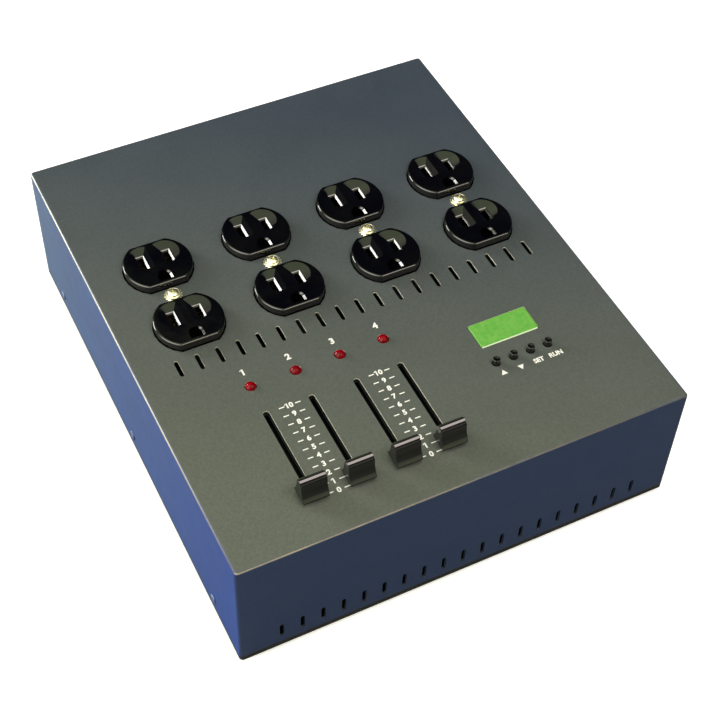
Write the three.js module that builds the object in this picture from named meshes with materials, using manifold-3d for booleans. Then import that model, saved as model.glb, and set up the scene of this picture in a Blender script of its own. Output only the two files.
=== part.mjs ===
// Four-channel dimmer pack: a folded steel case with four duplex outlets, four slide faders,
// a display with four menu buttons, and the power and control boards that it holds inside.
// Millimetres, +Z up, front towards -Y. The pieces are placed about the middle of the case, and
// the whole pack is then moved so that its origin is on the floor under the middle of its box.
import * as THREE from 'three';
import { mergeVertices } from 'three/addons/utils/BufferGeometryUtils.js';
import Module from 'manifold-3d';

const wasm = await Module();
wasm.setup();

// Case
const caseWidth = 220;
const caseDepth = 260;
const caseHeight = 70;
const coverSheet = 1.2;
const baseSheet = 1.2;
const bendRadius = 1.2;
const cornerRadius = 1.8;
const seamGap = 0.6;

// Clearances
const fitGap = 0.3;
const seatGap = 0.1;
const cutOverrun = 1;
const weldTolerance = 0.0001;

// Vent rows
const ventCount = 19;
const ventSideInset = 20;
const ventWidth = 2.1;
const ventLength = 9.8;
const frontVentLift = 11.7;

// Feet
const footHeight = 3;
const footRadius = 7.5;
const footTaper = 1;
const footInset = 22;
const footStemRadius = 2.4;
const footHeadRadius = 3.6;
const footHeadHeight = 2.2;

// Case screws
const caseScrewRows = 3;
const caseScrewInset = 29.5;
const caseScrewLift = 8.4;
const screwHeadRadius = 2.4;
const screwHeadHeight = 0.7;
const screwShankRadius = 1.4;
const screwShankLength = 7;
const tabWidth = 14;
const tabHeight = 13;

// Channels
const channelCount = 4;
const outletSideInset = 34.25;
const faderPitch = 22;

// Middles of the panel's groups, as shares of the case measured from its centre
const faderRowShare = -0.1455;
const displayShare = 0.2468;
const outletRowShare = 0.0858;
const topVentShare = -0.0769;
const lampRowShare = -0.1642;
const displayRowShare = -0.23;
const faderSlotShare = -0.3254;

// Duplex outlets
const faceRadius = 16.5;
const faceFlats = 27.8;
const faceStrip = 11.1;
const faceRise = 4;
const faceEdge = 0.9;
const faceGap = 0.6;
const bladePitch = 12.7;
const bladeOffset = 3.5;
const groundOffset = 8.4;
const longSlot = 7.4;
const shortSlot = 6.2;
const slotWidth = 2.3;
const slotDepth = 15;
const mouthMargin = 0.9;
const mouthDepth = 1.3;
const groundRadius = 2.7;
const dishRadius = 7.4;
const dishFloorRadius = 3.2;
const dishDepth = 1;
const dishInset = 1.9;
const dishInward = 1.15;
const dishBackward = 1.8;
const bodyDepth = 22;
const bodyEndWall = 1.2;

// Outlet straps
const strapWidth = 18;
const strapEar = 13.6;
const strapLip = 0.7;
const strapSheet = 1.5;
const strapHoleRadius = 2;
const strapHoleInset = 5;
const strapHoleLength = 7;

// Outlet centre screws
const centreHeadRadius = 3.75;
const centreHeadHeight = 2.2;
const washerRadius = 4.4;
const washerSheet = 0.6;
const centreShankRadius = 1.6;
const centreShankLength = 11;

// Channel lamps
const lampRadius = 2.6;
const lampFlange = 0.4;
const lampFlangeHeight = 1;
const lampHeight = 8.6;
const lampRise = 1.9;
const lampLead = 0.5;
const lampLeadPitch = 2.54;

// Faders
const faderTravel = 45;
const faderSlotWidth = 3.1;
const faderSlotPlay = 1.8;
const faderFrameWidth = 8.6;
const faderFrameHeight = 8;
const faderFrameWall = 0.8;
const faderFrameSlot = 2;
const faderHeadroom = 0.5;
const faderEndPlay = 3.2;
const carriageLength = 9;
const tongueThickness = 1.2;
const tongueLength = 4;
const tongueRise = 8;

// Fader knobs
const knobWidth = 12.2;
const knobLength = 9.6;
const knobLift = 1.5;
const knobHeight = 11.5;
const knobLip = 1.8;
const knobShoulder = 4.4;
const knobRidgeWidth = 2.2;
const knobRidgeRise = 1.4;
const knobWall = 1.2;
const knobHollowDepth = 2.5;
const knobEdge = 0.3;

// Display
const displayWidth = 30;
const displayDepth = 14;
const displayCorner = 0.8;
const displayThickness = 2.8;
const displayRise = 0.4;
const holderMargin = 3;

// Menu buttons
const buttonDrop = 17.3;
const buttonPitch = 9;
const buttonRadius = 1.75;
const buttonRise = 3;
const buttonEdge = 0.35;
const buttonTravel = 0.5;
const buttonHoleGap = 0.45;
const switchSize = 6;
const switchHeight = 3.5;
const switchBoreGap = 0.15;
const switchBoreDepth = 2;

// Boards and the standoffs that carry them
const boardSheet = 1.6;
const controlSideInset = 15;
const controlFrontMargin = 2.4;
const controlRearMargin = 8.7;
const powerSideInset = 10;
const powerRearInset = 29.7;
const powerLift = 6;
const standoffInset = 5;
const standoffRadius = 3;
const standoffPinRadius = 1.4;
const standoffHeadRadius = 2.3;
const standoffHeadHeight = 0.8;

// Parts soldered to the boards
const chipWidth = 7.6;
const chipLength = 24;
const chipHeight = 3.6;
const headerWidth = 30;
const headerDepth = 6;
const headerHeight = 8;
const chokeRadius = 10.5;
const chokeTube = 4.2;
const terminalInset = 14;
const terminalWidth = 60;
const terminalDepth = 12;
const terminalHeight = 12;
const terminalNotch = 4;
const terminalCount = 6;

// Heat sink and triacs
const sinkSideInset = 22;
const sinkHeight = 38;
const sinkPlate = 4;
const sinkFootDepth = 16;
const sinkFootSheet = 3;
const finCount = 5;
const finLength = 11;
const finSheet = 1.6;
const triacWidth = 10.2;
const triacThickness = 4.5;
const triacBody = 9;
const triacTabHeight = 6.2;
const triacTabSheet = 1.3;
const triacTabHoleRadius = 1.8;
const triacLift = 7;
const triacLeadCount = 3;
const triacLeadPitch = 2.54;
const triacLead = 0.8;

// Transformer
const transformerGap = 25;
const transformerInset = 2;
const coreWidth = 42;
const coreDepth = 22;
const coreHeight = 29;
const coreLimb = 7;
const coilWidth = 27;
const coilDepth = 34;
const coilBase = 3;

// Rear fittings, from the nearer side of the case
const rearLift = 36;
const glandInset = 32;
const breakerInset = 68;
const outputInset = 34;
const inputInset = 76;

// Data sockets
const flangeWidth = 26;
const flangeHeight = 31;
const flangeCorner = 3;
const flangeSheet = 2;
const barrelRadius = 11.8;
const barrelDepth = 21;
const cupRadius = 9.4;
const cupDepth = 16;
const pinRadius = 1.25;
const pinLength = 12;
const pinCircle = 4;
const insertRadius = 7.6;
const pinHoleRadius = 1.5;
const latchWidth = 7;
const latchHeight = 3;
const latchWall = 0.7;
const latchRise = 2.4;
const latchDepth = 5;
const latchTravel = 1.5;
const latchOffset = 12.2;

// Circuit breaker
const breakerWidth = 15;
const breakerHeight = 30;
const breakerDepth = 30;
const neckRadius = 5.2;
const neckRise = 6;
const nutRadius = 8.2;
const nutHeight = 2.4;
const resetRadius = 3.4;
const resetRise = 3;
const resetTravel = 4;
const resetDepth = 9;
const resetEdge = 0.6;

// Cord gland
const glandThreadRadius = 10;
const glandThreadDepth = 8;
const glandHexRadius = 13.5;
const glandHexHeight = 5;
const glandDomeRadius = 11.5;
const glandDomeHeight = 12;
const glandBoreRadius = 5;
const glandWall = 1.2;
const glandNutRadius = 13;
const glandNutHeight = 3.5;

// Facets of round forms
const roundSides = 16;
const smallSides = 12;
const pinSides = 8;
const ventEndSides = 2;
const slotEndSides = 3;
const faceArcSides = 4;
const dishSides = 10;
const hexSides = 6;
const edgeSteps = 2;
const domeSteps = 3;
const chokeTubeSides = 5;

// Heights of the case, from the floor
const baseBottom = footHeight;
const baseTop = baseBottom + baseSheet;
const coverBottom = baseTop + seamGap;
const panelTop = baseBottom + caseHeight;
const panelUnder = panelTop - coverSheet;
const rearFace = caseDepth / 2;
const rearRowZ = baseBottom + rearLift;
const rearReach = fitGap + glandHexHeight + glandDomeHeight;
const caseScrewZ = baseBottom + caseScrewLift;

// Middles of the panel's groups
const faderRowX = faderRowShare * caseWidth;
const displayX = displayShare * caseWidth;
const outletRowY = outletRowShare * caseDepth;
const topVentY = topVentShare * caseDepth;
const lampY = lampRowShare * caseDepth;
const displayY = displayRowShare * caseDepth;
const buttonY = displayY - buttonDrop;
const faderSlotY = faderSlotShare * caseDepth;

// Sizes that follow from the fader's travel
const faderFrameLength = faderTravel + carriageLength + 2 * (faderFrameWall + faderEndPlay);
const faderSlotLength = faderTravel + tongueLength + 2 * faderSlotPlay;

// Control board: under the panel, from the faders to the lamps
const controlTop = panelUnder - faderHeadroom - faderFrameHeight - seatGap;
const controlWidth = caseWidth - 2 * controlSideInset;
const controlFront = faderSlotY - faderFrameLength / 2 - controlFrontMargin;
const controlRear = lampY + controlRearMargin;
const controlDepth = controlRear - controlFront;
const controlY = (controlFront + controlRear) / 2;

// Power board: on the base, from the heat sink under the top vents to the rear fittings
const sinkRearY = topVentY;
const powerTop = baseTop + powerLift + boardSheet;
const powerWidth = caseWidth - 2 * powerSideInset;
const powerFront = sinkRearY + fitGap;
const powerRear = rearFace - powerRearInset;
const powerDepth = powerRear - powerFront;
const powerY = (powerFront + powerRear) / 2;
const terminalX = -powerWidth / 2 + terminalInset + terminalWidth / 2;
const transformerX = terminalX + terminalWidth / 2 + transformerGap + coreWidth / 2;

// Rear fittings across the case
const glandX = -caseWidth / 2 + glandInset;
const breakerX = -caseWidth / 2 + breakerInset;
const inputX = caseWidth / 2 - inputInset;
const outputX = caseWidth / 2 - outputInset;

// Rows of repeated pieces
const outletXs = spreadRow(channelCount, caseWidth - 2 * outletSideInset);
const faderXs = centredRow(channelCount, faderPitch, faderRowX);
const buttonXs = centredRow(channelCount, buttonPitch, displayX);
const ventXs = spreadRow(ventCount, caseWidth - 2 * ventSideInset);
const caseScrewYs = spreadRow(caseScrewRows, caseDepth - 2 * caseScrewInset);

function centredRow(count, pitch, centre) {
  return Array.from({ length: count }, (unused, index) => centre + (index - (count - 1) / 2) * pitch);
}

function spreadRow(count, span) {
  return centredRow(count, span / (count - 1), 0);
}

// Solids and geometries
function toSolid(geometry) {
  const bare = geometry.clone();
  bare.deleteAttribute('normal');
  bare.deleteAttribute('uv');
  const welded = mergeVertices(bare, weldTolerance);
  const index = welded.getIndex().array;
  const faces = [];
  for (let corner = 0; corner < index.length; corner += 3) {
    const [a, b, c] = index.slice(corner, corner + 3);
    if (a !== b && b !== c && c !== a) faces.push(a, b, c);
  }
  return new wasm.Manifold(new wasm.Mesh({
    numProp: 3,
    vertProperties: welded.getAttribute('position').array,
    triVerts: Uint32Array.from(faces),
  }));
}

function toGeometry(solid) {
  const mesh = solid.getMesh();
  const geometry = new THREE.BufferGeometry();
  geometry.setAttribute('position', new THREE.BufferAttribute(mesh.vertProperties, 3));
  geometry.setIndex(new THREE.BufferAttribute(mesh.triVerts, 1));
  geometry.computeVertexNormals();
  return geometry;
}

function joined(solids) {
  return solids.reduce((whole, solid) => whole.add(solid));
}

function cutBy(body, tools) {
  return tools.reduce((whole, tool) => whole.subtract(tool), body);
}

// Simple solids: each stands on z = 0 and is then moved to its place
function block(width, depth, height, x = 0, y = 0, z = 0) {
  return toSolid(new THREE.BoxGeometry(width, depth, height).translate(x, y, z + height / 2));
}

function rod(radius, height, sides, x = 0, y = 0, z = 0) {
  const geometry = new THREE.CylinderGeometry(radius, radius, height, sides);
  return toSolid(geometry.rotateX(Math.PI / 2).translate(x, y, z + height / 2));
}

function slab(shape, height, x = 0, y = 0, z = 0, curveSegments = slotEndSides) {
  const geometry = new THREE.ExtrudeGeometry(shape, { depth: height, bevelEnabled: false, curveSegments });
  return toSolid(geometry.translate(x, y, z));
}

function turned(profile, sides) {
  const points = profile.map(([radius, height]) => new THREE.Vector2(radius, height));
  return new THREE.LatheGeometry(points, sides).rotateX(Math.PI / 2);
}

// A profile drawn as (y, z) and swept across the case along x
function sweptAcross(shape, width, curveSegments = slotEndSides) {
  const geometry = new THREE.ExtrudeGeometry(shape, { depth: width, bevelEnabled: false, curveSegments });
  const turn = new THREE.Matrix4().makeBasis(
    new THREE.Vector3(0, 1, 0),
    new THREE.Vector3(0, 0, 1),
    new THREE.Vector3(1, 0, 0),
  );
  return toSolid(geometry.translate(0, 0, -width / 2).applyMatrix4(turn));
}

// Outlines
function roundedRectangle(width, height, radius) {
  const x = width / 2;
  const y = height / 2;
  const shape = new THREE.Shape();
  shape.moveTo(-x + radius, -y);
  shape.lineTo(x - radius, -y);
  shape.absarc(x - radius, -y + radius, radius, -Math.PI / 2, 0);
  shape.lineTo(x, y - radius);
  shape.absarc(x - radius, y - radius, radius, 0, Math.PI / 2);
  shape.lineTo(-x + radius, y);
  shape.absarc(-x + radius, y - radius, radius, Math.PI / 2, Math.PI);
  shape.lineTo(-x, -y + radius);
  shape.absarc(-x + radius, -y + radius, radius, Math.PI, 1.5 * Math.PI);
  return shape;
}

function slotOutline(width, length) {
  const radius = width / 2;
  const reach = length / 2 - radius;
  const shape = new THREE.Shape();
  shape.absarc(0, reach, radius, 0, Math.PI);
  shape.absarc(0, -reach, radius, Math.PI, 2 * Math.PI);
  return shape;
}

function clippedCircle(radius, flats) {
  const half = Math.asin(flats / 2 / radius);
  const shape = new THREE.Shape();
  shape.absarc(0, 0, radius, -half, half);
  shape.absarc(0, 0, radius, Math.PI - half, Math.PI + half);
  return shape;
}

// Ground hole: a half circle at the back and a flat side at the front
function archOutline(radius) {
  const shape = new THREE.Shape();
  shape.moveTo(-radius, -radius);
  shape.lineTo(radius, -radius);
  shape.absarc(0, 0, radius, 0, Math.PI);
  return shape;
}

// Materials
function finish(color, roughness, metalness) {
  return new THREE.MeshStandardMaterial({ color, roughness, metalness });
}

const greyPaint = () => finish(0x5c6058, 0.55, 0.2);
const zincSheet = () => finish(0xa9abab, 0.4, 0.9);
const nickelPlate = () => finish(0xd8d2b8, 0.25, 1);
const glossBlack = () => finish(0x0b0b0d, 0.15, 0);
const satinBlack = () => finish(0x141416, 0.45, 0);
const softRubber = () => finish(0x1b1b1b, 0.9, 0);
const redLens = () => finish(0xc0001a, 0.1, 0);
const displayGreen = () => finish(0x5cc23a, 0.3, 0);
const boardGreen = () => finish(0x1f5a34, 0.5, 0);
const aluminium = () => finish(0xb8babc, 0.4, 0.95);
const laminated = () => finish(0x70726f, 0.5, 0.7);
const redCap = () => finish(0x9c1512, 0.35, 0);

// Case
function caseCover() {
  const wallHeight = panelTop - bendRadius - coverBottom;
  const folded = new THREE.ExtrudeGeometry(roundedRectangle(caseWidth, caseDepth, cornerRadius), {
    depth: wallHeight,
    bevelThickness: bendRadius,
    bevelSize: bendRadius,
    bevelOffset: -bendRadius,
    bevelSegments: edgeSteps + 1,
    curveSegments: edgeSteps + 1,
  }).translate(0, 0, coverBottom);
  const inside = block(
    caseWidth - 2 * coverSheet,
    caseDepth - 2 * coverSheet,
    panelUnder - coverBottom + cutOverrun,
    0, 0, coverBottom - cutOverrun,
  );
  const below = block(
    caseWidth + 2 * cutOverrun,
    caseDepth + 2 * cutOverrun,
    bendRadius + cutOverrun,
    0, 0, coverBottom - bendRadius - cutOverrun,
  );
  const shell = cutBy(toSolid(folded), [inside, below, ...panelCuts(), ...wallCuts()]);
  return toGeometry(joined([shell, ...coverStandoffs()]));
}

function panelCut(shape, x, y, curveSegments = slotEndSides) {
  return slab(shape, coverSheet + 2 * cutOverrun, x, y, panelUnder - cutOverrun, curveSegments);
}

function panelCuts() {
  const outletHole = clippedCircle(faceRadius + faceGap, faceFlats + 2 * faceGap);
  const window = roundedRectangle(displayWidth + 2 * fitGap, displayDepth + 2 * fitGap, displayCorner);
  const cuts = [panelCut(window, displayX, displayY)];
  for (const x of outletXs) {
    cuts.push(panelHole(centreShankRadius + fitGap, x, outletRowY));
    for (const y of faceYs()) cuts.push(panelCut(outletHole, x, outletRowY + y, faceArcSides));
  }
  for (const x of faderXs) {
    cuts.push(panelHole(lampRadius + fitGap, x, lampY));
    cuts.push(panelCut(slotOutline(faderSlotWidth, faderSlotLength), x, faderSlotY));
  }
  for (const x of buttonXs) cuts.push(panelHole(buttonRadius + buttonHoleGap, x, buttonY));
  const vent = slotOutline(ventWidth, ventLength);
  for (const x of ventXs) cuts.push(panelCut(vent, x, topVentY, ventEndSides));
  return cuts;
}

function panelHole(radius, x, y) {
  return rod(radius, coverSheet + 2 * cutOverrun, smallSides, x, y, panelUnder - cutOverrun);
}

// Cuts through a wall are drawn flat, stood upright and moved into the wall
function wallCuts() {
  const depth = coverSheet + 2 * cutOverrun;
  const frontVentZ = baseBottom + frontVentLift;
  const upright = (solid) => solid.rotate([-90, 0, 0]);
  const outline = slotOutline(ventWidth, ventLength);
  const vent = upright(slab(outline, depth, 0, 0, 0, ventEndSides));
  const cuts = ventXs.map((x) => vent.translate([x, -rearFace - cutOverrun, frontVentZ]));
  const rearHoles = [
    [barrelRadius + fitGap, inputX],
    [barrelRadius + fitGap, outputX],
    [neckRadius + fitGap, breakerX],
    [glandThreadRadius + fitGap, glandX],
  ];
  for (const [radius, x] of rearHoles) {
    cuts.push(upright(rod(radius, depth, roundSides))
      .translate([x, rearFace - coverSheet - cutOverrun, rearRowZ]));
  }
  const latchHoleHeight = latchBoxHeight() + 2 * fitGap;
  cuts.push(block(
    latchBoxWidth() + 2 * fitGap, depth, latchHoleHeight,
    outputX, rearFace - depth / 2 + cutOverrun, rearRowZ + latchOffset - latchHoleHeight / 2,
  ));
  const span = caseWidth + 2 * cutOverrun;
  for (const y of caseScrewYs) {
    cuts.push(rod(screwShankRadius + fitGap, span, pinSides, 0, 0, -span / 2)
      .rotate([0, 90, 0])
      .translate([0, y, caseScrewZ]));
  }
  return cuts;
}

// A spool-shaped standoff: shoulder, pin through the board, and a head that keeps the board on
function standoff(length) {
  const pinTop = length + boardSheet + 2 * seatGap;
  return toSolid(turned([
    [0, -seatGap],
    [standoffRadius, -seatGap],
    [standoffRadius, length],
    [standoffPinRadius, length],
    [standoffPinRadius, pinTop],
    [standoffHeadRadius, pinTop],
    [standoffPinRadius, pinTop + standoffHeadHeight],
    [0, pinTop + standoffHeadHeight],
  ], pinSides));
}

function boardCorners(width, depth, centreY) {
  const x = width / 2 - standoffInset;
  const y = depth / 2 - standoffInset;
  return [[-x, centreY - y], [x, centreY - y], [-x, centreY + y], [x, centreY + y]];
}

function coverStandoffs() {
  const length = panelUnder - controlTop - seatGap;
  return boardCorners(controlWidth, controlDepth, controlY)
    .map(([x, y]) => standoff(length).rotate([180, 0, 0]).translate([x, y, panelUnder]));
}

function basePlate() {
  const outline = roundedRectangle(caseWidth, caseDepth, cornerRadius);
  const sheet = slab(outline, baseSheet, 0, 0, baseBottom, edgeSteps);
  const pillars = boardCorners(powerWidth, powerDepth, powerY)
    .map(([x, y]) => standoff(powerLift - seatGap).translate([x, y, baseTop]));
  const footHoles = footPlaces().map(([, x, y]) => rod(
    footStemRadius + fitGap, baseSheet + 2 * cutOverrun, pinSides, x, y, baseBottom - cutOverrun,
  ));
  return toGeometry(cutBy(joined([sheet, ...pillars, ...sideTabs()]), [...footHoles, ...tabHoles()]));
}

// Upturned tabs inside the side walls take the case screws
function tabX() {
  return caseWidth / 2 - coverSheet - fitGap - baseSheet / 2;
}

function sideTabs() {
  const tabs = [];
  for (const side of [-1, 1]) {
    for (const y of caseScrewYs) {
      tabs.push(block(baseSheet, tabWidth, baseSheet + tabHeight, side * tabX(), y, baseBottom));
    }
  }
  return tabs;
}

function tabHoles() {
  const length = baseSheet + 2 * cutOverrun;
  const holes = [];
  for (const side of [-1, 1]) {
    for (const y of caseScrewYs) {
      holes.push(rod(screwShankRadius + seatGap, length, pinSides, 0, 0, -length / 2)
        .rotate([0, 90, 0])
        .translate([side * tabX(), y, caseScrewZ]));
    }
  }
  return holes;
}

function footPlaces() {
  const x = caseWidth / 2 - footInset;
  const y = caseDepth / 2 - footInset;
  return [
    ['front_left', -x, -y],
    ['front_right', x, -y],
    ['rear_left', -x, y],
    ['rear_right', x, y],
  ];
}

// Push-in rubber foot: a tapered pad, a stem through the base and a bulb above it
function foot() {
  const top = footHeight - seatGap;
  const stemTop = footHeight + baseSheet + seatGap;
  return turned([
    [0, 0],
    [footRadius - footTaper, 0],
    [footRadius, top],
    [footStemRadius, top],
    [footStemRadius, stemTop],
    [footHeadRadius, stemTop],
    [footStemRadius / 2, stemTop + footHeadHeight],
    [0, stemTop + footHeadHeight],
  ], smallSides);
}

// Pan-head screw along z: the head's seat is at z = 0 and the shank points down
function panScrew(head, shank, sides, collar = { radius: head.radius, height: 0 }) {
  const profile = [
    [0, -shank.length],
    [shank.radius, -shank.length],
    [shank.radius, 0],
    [collar.radius, 0],
  ];
  if (collar.height > 0) profile.push([collar.radius, collar.height], [head.radius, collar.height]);
  const crown = head.height / 2;
  for (let step = 0; step <= edgeSteps; step += 1) {
    const turn = (step / edgeSteps) * (Math.PI / 2);
    profile.push([
      head.radius - crown * (1 - Math.cos(turn)),
      collar.height + head.height - crown + crown * Math.sin(turn),
    ]);
  }
  profile.push([0, collar.height + head.height]);
  return turned(profile, sides);
}

// Outlets
function faceYs() {
  const facePitch = faceFlats + faceStrip;
  return [facePitch / 2, -facePitch / 2];
}

function bodyLength() {
  return 2 * (faceFlats + bodyEndWall) + faceStrip;
}

// The moulding of one duplex outlet, with z = 0 at the top of the panel
function receptacle() {
  const shoulder = -coverSheet - fitGap;
  const body = block(
    2 * faceRadius,
    bodyLength(),
    bodyDepth,
    0, 0, shoulder - bodyDepth,
  );
  const faces = faceYs().map((y) => faceMoulding(y, shoulder));
  const cuts = faceYs().flatMap((y) => faceCuts(y));
  const screwHole = rod(
    centreShankRadius + fitGap,
    centreShankLength + cutOverrun,
    smallSides,
    0, 0, shoulder - centreShankLength,
  );
  return toGeometry(cutBy(joined([body, ...faces]), [...cuts, screwHole]));
}

function faceMoulding(y, shoulder) {
  const depth = faceRise - shoulder - faceEdge;
  const moulding = new THREE.ExtrudeGeometry(clippedCircle(faceRadius, faceFlats), {
    depth,
    bevelThickness: faceEdge,
    bevelSize: faceEdge,
    bevelOffset: -faceEdge,
    bevelSegments: edgeSteps,
    curveSegments: faceArcSides,
  });
  return toSolid(moulding.translate(0, y, shoulder));
}

// Two blade slots, each in a shallow dish, and a ground hole; all three have a wider mouth
function faceCuts(y) {
  const slotBottom = faceRise + cutOverrun - slotDepth;
  const mouthBottom = faceRise - mouthDepth;
  const mouthHeight = mouthDepth + cutOverrun;
  const bladeY = y + bladeOffset;
  const groundY = y - groundOffset;
  const blades = [[-1, longSlot], [1, shortSlot]];
  const cuts = blades.flatMap(([side, length]) => {
    const x = side * (bladePitch / 2);
    return [
      block(slotWidth, length, slotDepth, x, bladeY, slotBottom),
      block(slotWidth + 2 * mouthMargin, length + 2 * mouthMargin, mouthHeight, x, bladeY, mouthBottom),
      dish(side).translate([0, bladeY + dishBackward, faceRise]),
    ];
  });
  cuts.push(slab(archOutline(groundRadius), slotDepth, 0, groundY, slotBottom));
  cuts.push(slab(archOutline(groundRadius + mouthMargin / 2), mouthHeight, 0, groundY, mouthBottom));
  return cuts;
}

// The dish that guides a blade into its slot: round outside, cut straight towards the other slot
function dish(side) {
  const bowl = toSolid(turned([
    [0, -dishDepth],
    [dishFloorRadius, -dishDepth],
    [dishRadius, 0],
    [dishRadius, cutOverrun],
    [0, cutOverrun],
  ], dishSides)).translate([side * (bladePitch / 2 - dishInward), 0, 0]);
  const reach = 2 * dishRadius;
  const outside = block(
    reach, reach, dishDepth + 2 * cutOverrun, side * (dishInset + dishRadius), 0, -dishDepth - cutOverrun,
  );
  return bowl.intersect(outside);
}

// Steel strap: a cradle round the ends and back of the moulding, with an ear under the panel
// behind the outlet and a short lip in front, which ends before the vents
function receptacleStrap() {
  const earTop = -coverSheet - seatGap;
  const earUnder = earTop - strapSheet;
  const innerY = bodyLength() / 2 + fitGap;
  const outerY = innerY + strapSheet;
  const innerZ = -coverSheet - fitGap - bodyDepth - fitGap;
  const outerZ = innerZ - strapSheet;
  const earEnd = outerY + strapEar;
  const lipEnd = outerY + strapLip;
  const profile = new THREE.Shape();
  profile.moveTo(-lipEnd, earTop);
  profile.lineTo(-lipEnd, earUnder);
  profile.lineTo(-outerY, earUnder);
  profile.lineTo(-outerY, outerZ);
  profile.lineTo(outerY, outerZ);
  profile.lineTo(outerY, earUnder);
  profile.lineTo(earEnd, earUnder);
  profile.lineTo(earEnd, earTop);
  profile.lineTo(innerY, earTop);
  profile.lineTo(innerY, innerZ);
  profile.lineTo(-innerY, innerZ);
  profile.lineTo(-innerY, earTop);
  const hole = slab(
    slotOutline(2 * strapHoleRadius, strapHoleLength),
    strapSheet + 2 * cutOverrun,
    0, earEnd - strapHoleInset, earUnder - cutOverrun, ventEndSides,
  );
  return toGeometry(cutBy(sweptAcross(profile, strapWidth), [hole]));
}

function receptacleScrew() {
  return panScrew(
    { radius: centreHeadRadius, height: centreHeadHeight },
    { radius: centreShankRadius, length: centreShankLength },
    smallSides,
    { radius: washerRadius, height: washerSheet },
  );
}

function caseScrew() {
  return panScrew(
    { radius: screwHeadRadius, height: screwHeadHeight },
    { radius: screwShankRadius, length: screwShankLength },
    pinSides,
  );
}

// Channel lamp: a domed lens on a flange, with two leads down to the board
function channelLamp() {
  const leadLength = panelTop + lampRise - lampHeight - controlTop - seatGap;
  const wallTop = lampHeight - lampRadius;
  const profile = [
    [0, 0],
    [lampRadius + lampFlange, 0],
    [lampRadius + lampFlange, lampFlangeHeight],
    [lampRadius, lampFlangeHeight],
  ];
  for (let step = 0; step < domeSteps; step += 1) {
    const turn = (step / domeSteps) * (Math.PI / 2);
    profile.push([lampRadius * Math.cos(turn), wallTop + lampRadius * Math.sin(turn)]);
  }
  profile.push([0, lampHeight]);
  const leads = [-1, 1].map((side) => block(
    lampLead, lampLead, leadLength + lampFlangeHeight / 2, side * lampLeadPitch / 2, 0, -leadLength,
  ));
  return toGeometry(joined([toSolid(turned(profile, smallSides)), ...leads]));
}

// Faders: z = 0 is the top of the control board
function faderFrame() {
  const inside = faderFrameHeight - 2 * faderFrameWall;
  const box = block(faderFrameWidth, faderFrameLength, faderFrameHeight);
  const hollow = block(
    faderFrameWidth - 2 * faderFrameWall,
    faderFrameLength - 2 * faderFrameWall,
    inside,
    0, 0, faderFrameWall,
  );
  const slot = block(
    faderFrameSlot,
    faderTravel + tongueLength + 2 * faderFrameWall,
    faderFrameWall + 2 * cutOverrun,
    0, 0, faderFrameHeight - faderFrameWall - cutOverrun,
  );
  return toGeometry(cutBy(box, [hollow, slot]));
}

// Sliding carriage inside the frame, with the flat tongue that carries the knob
function faderLever() {
  const carriageBottom = faderFrameWall + fitGap;
  const carriageHeight = faderFrameHeight - 2 * faderFrameWall - 2 * fitGap;
  const tongueTop = panelTop - controlTop - seatGap + knobLift + tongueRise;
  const carriage = block(
    faderFrameWidth - 2 * faderFrameWall - 2 * fitGap,
    carriageLength,
    carriageHeight,
    0, 0, carriageBottom,
  );
  const tongueBottom = carriageBottom + carriageHeight / 2;
  const tongue = block(tongueThickness, tongueLength, tongueTop - tongueBottom, 0, 0, tongueBottom);
  return toGeometry(joined([carriage, tongue]));
}

// Knob: z = 0 is its lower edge; hollow flanks rise to a narrow ridge across the top
function faderKnob() {
  const base = knobLength / 2;
  const shoulder = knobShoulder / 2;
  const shoulderZ = knobHeight - knobRidgeRise;
  const ridge = knobRidgeWidth / 2;
  const profile = new THREE.Shape();
  profile.moveTo(-base, 0);
  profile.lineTo(base, 0);
  profile.lineTo(base, knobLip);
  profile.quadraticCurveTo(shoulder + knobEdge, knobLip + shoulder, shoulder, shoulderZ - knobEdge);
  profile.lineTo(ridge + knobEdge, shoulderZ);
  profile.lineTo(ridge, knobHeight - knobEdge);
  profile.lineTo(ridge - knobEdge, knobHeight);
  profile.lineTo(-ridge + knobEdge, knobHeight);
  profile.lineTo(-ridge, knobHeight - knobEdge);
  profile.lineTo(-ridge - knobEdge, shoulderZ);
  profile.lineTo(-shoulder, shoulderZ - knobEdge);
  profile.quadraticCurveTo(-shoulder - knobEdge, knobLip + shoulder, -base, knobLip);
  const solid = sweptAcross(profile, knobWidth, slotEndSides + 1);
  const socketWall = 2 * (knobWall + fitGap);
  const hollow = block(
    knobWidth - 2 * knobWall, knobLength - 2 * knobWall, knobHollowDepth + cutOverrun, 0, 0, -cutOverrun,
  );
  const boss = block(
    tongueThickness + socketWall, tongueLength + socketWall, knobHollowDepth + cutOverrun, 0, 0, 0,
  );
  const socket = block(
    tongueThickness + 2 * fitGap,
    tongueLength + 2 * fitGap,
    tongueRise + fitGap + cutOverrun,
    0, 0, -cutOverrun,
  );
  return toGeometry(solid.subtract(hollow).add(boss).subtract(socket));
}

// Display
function displayWindow() {
  const shape = roundedRectangle(displayWidth, displayDepth, displayCorner);
  return toGeometry(slab(shape, displayThickness, 0, 0, 0, edgeSteps));
}

// Frame on the board with a pocket for the display
function displayHolder() {
  const height = panelUnder - fitGap - controlTop - seatGap;
  const pocketFloor = panelTop + displayRise - displayThickness - controlTop - 2 * seatGap;
  const frame = block(displayWidth + 2 * holderMargin, displayDepth + 2 * holderMargin, height);
  const pocket = block(
    displayWidth + 2 * fitGap, displayDepth + 2 * fitGap, height, 0, 0, pocketFloor,
  );
  return toGeometry(frame.subtract(pocket));
}

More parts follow.
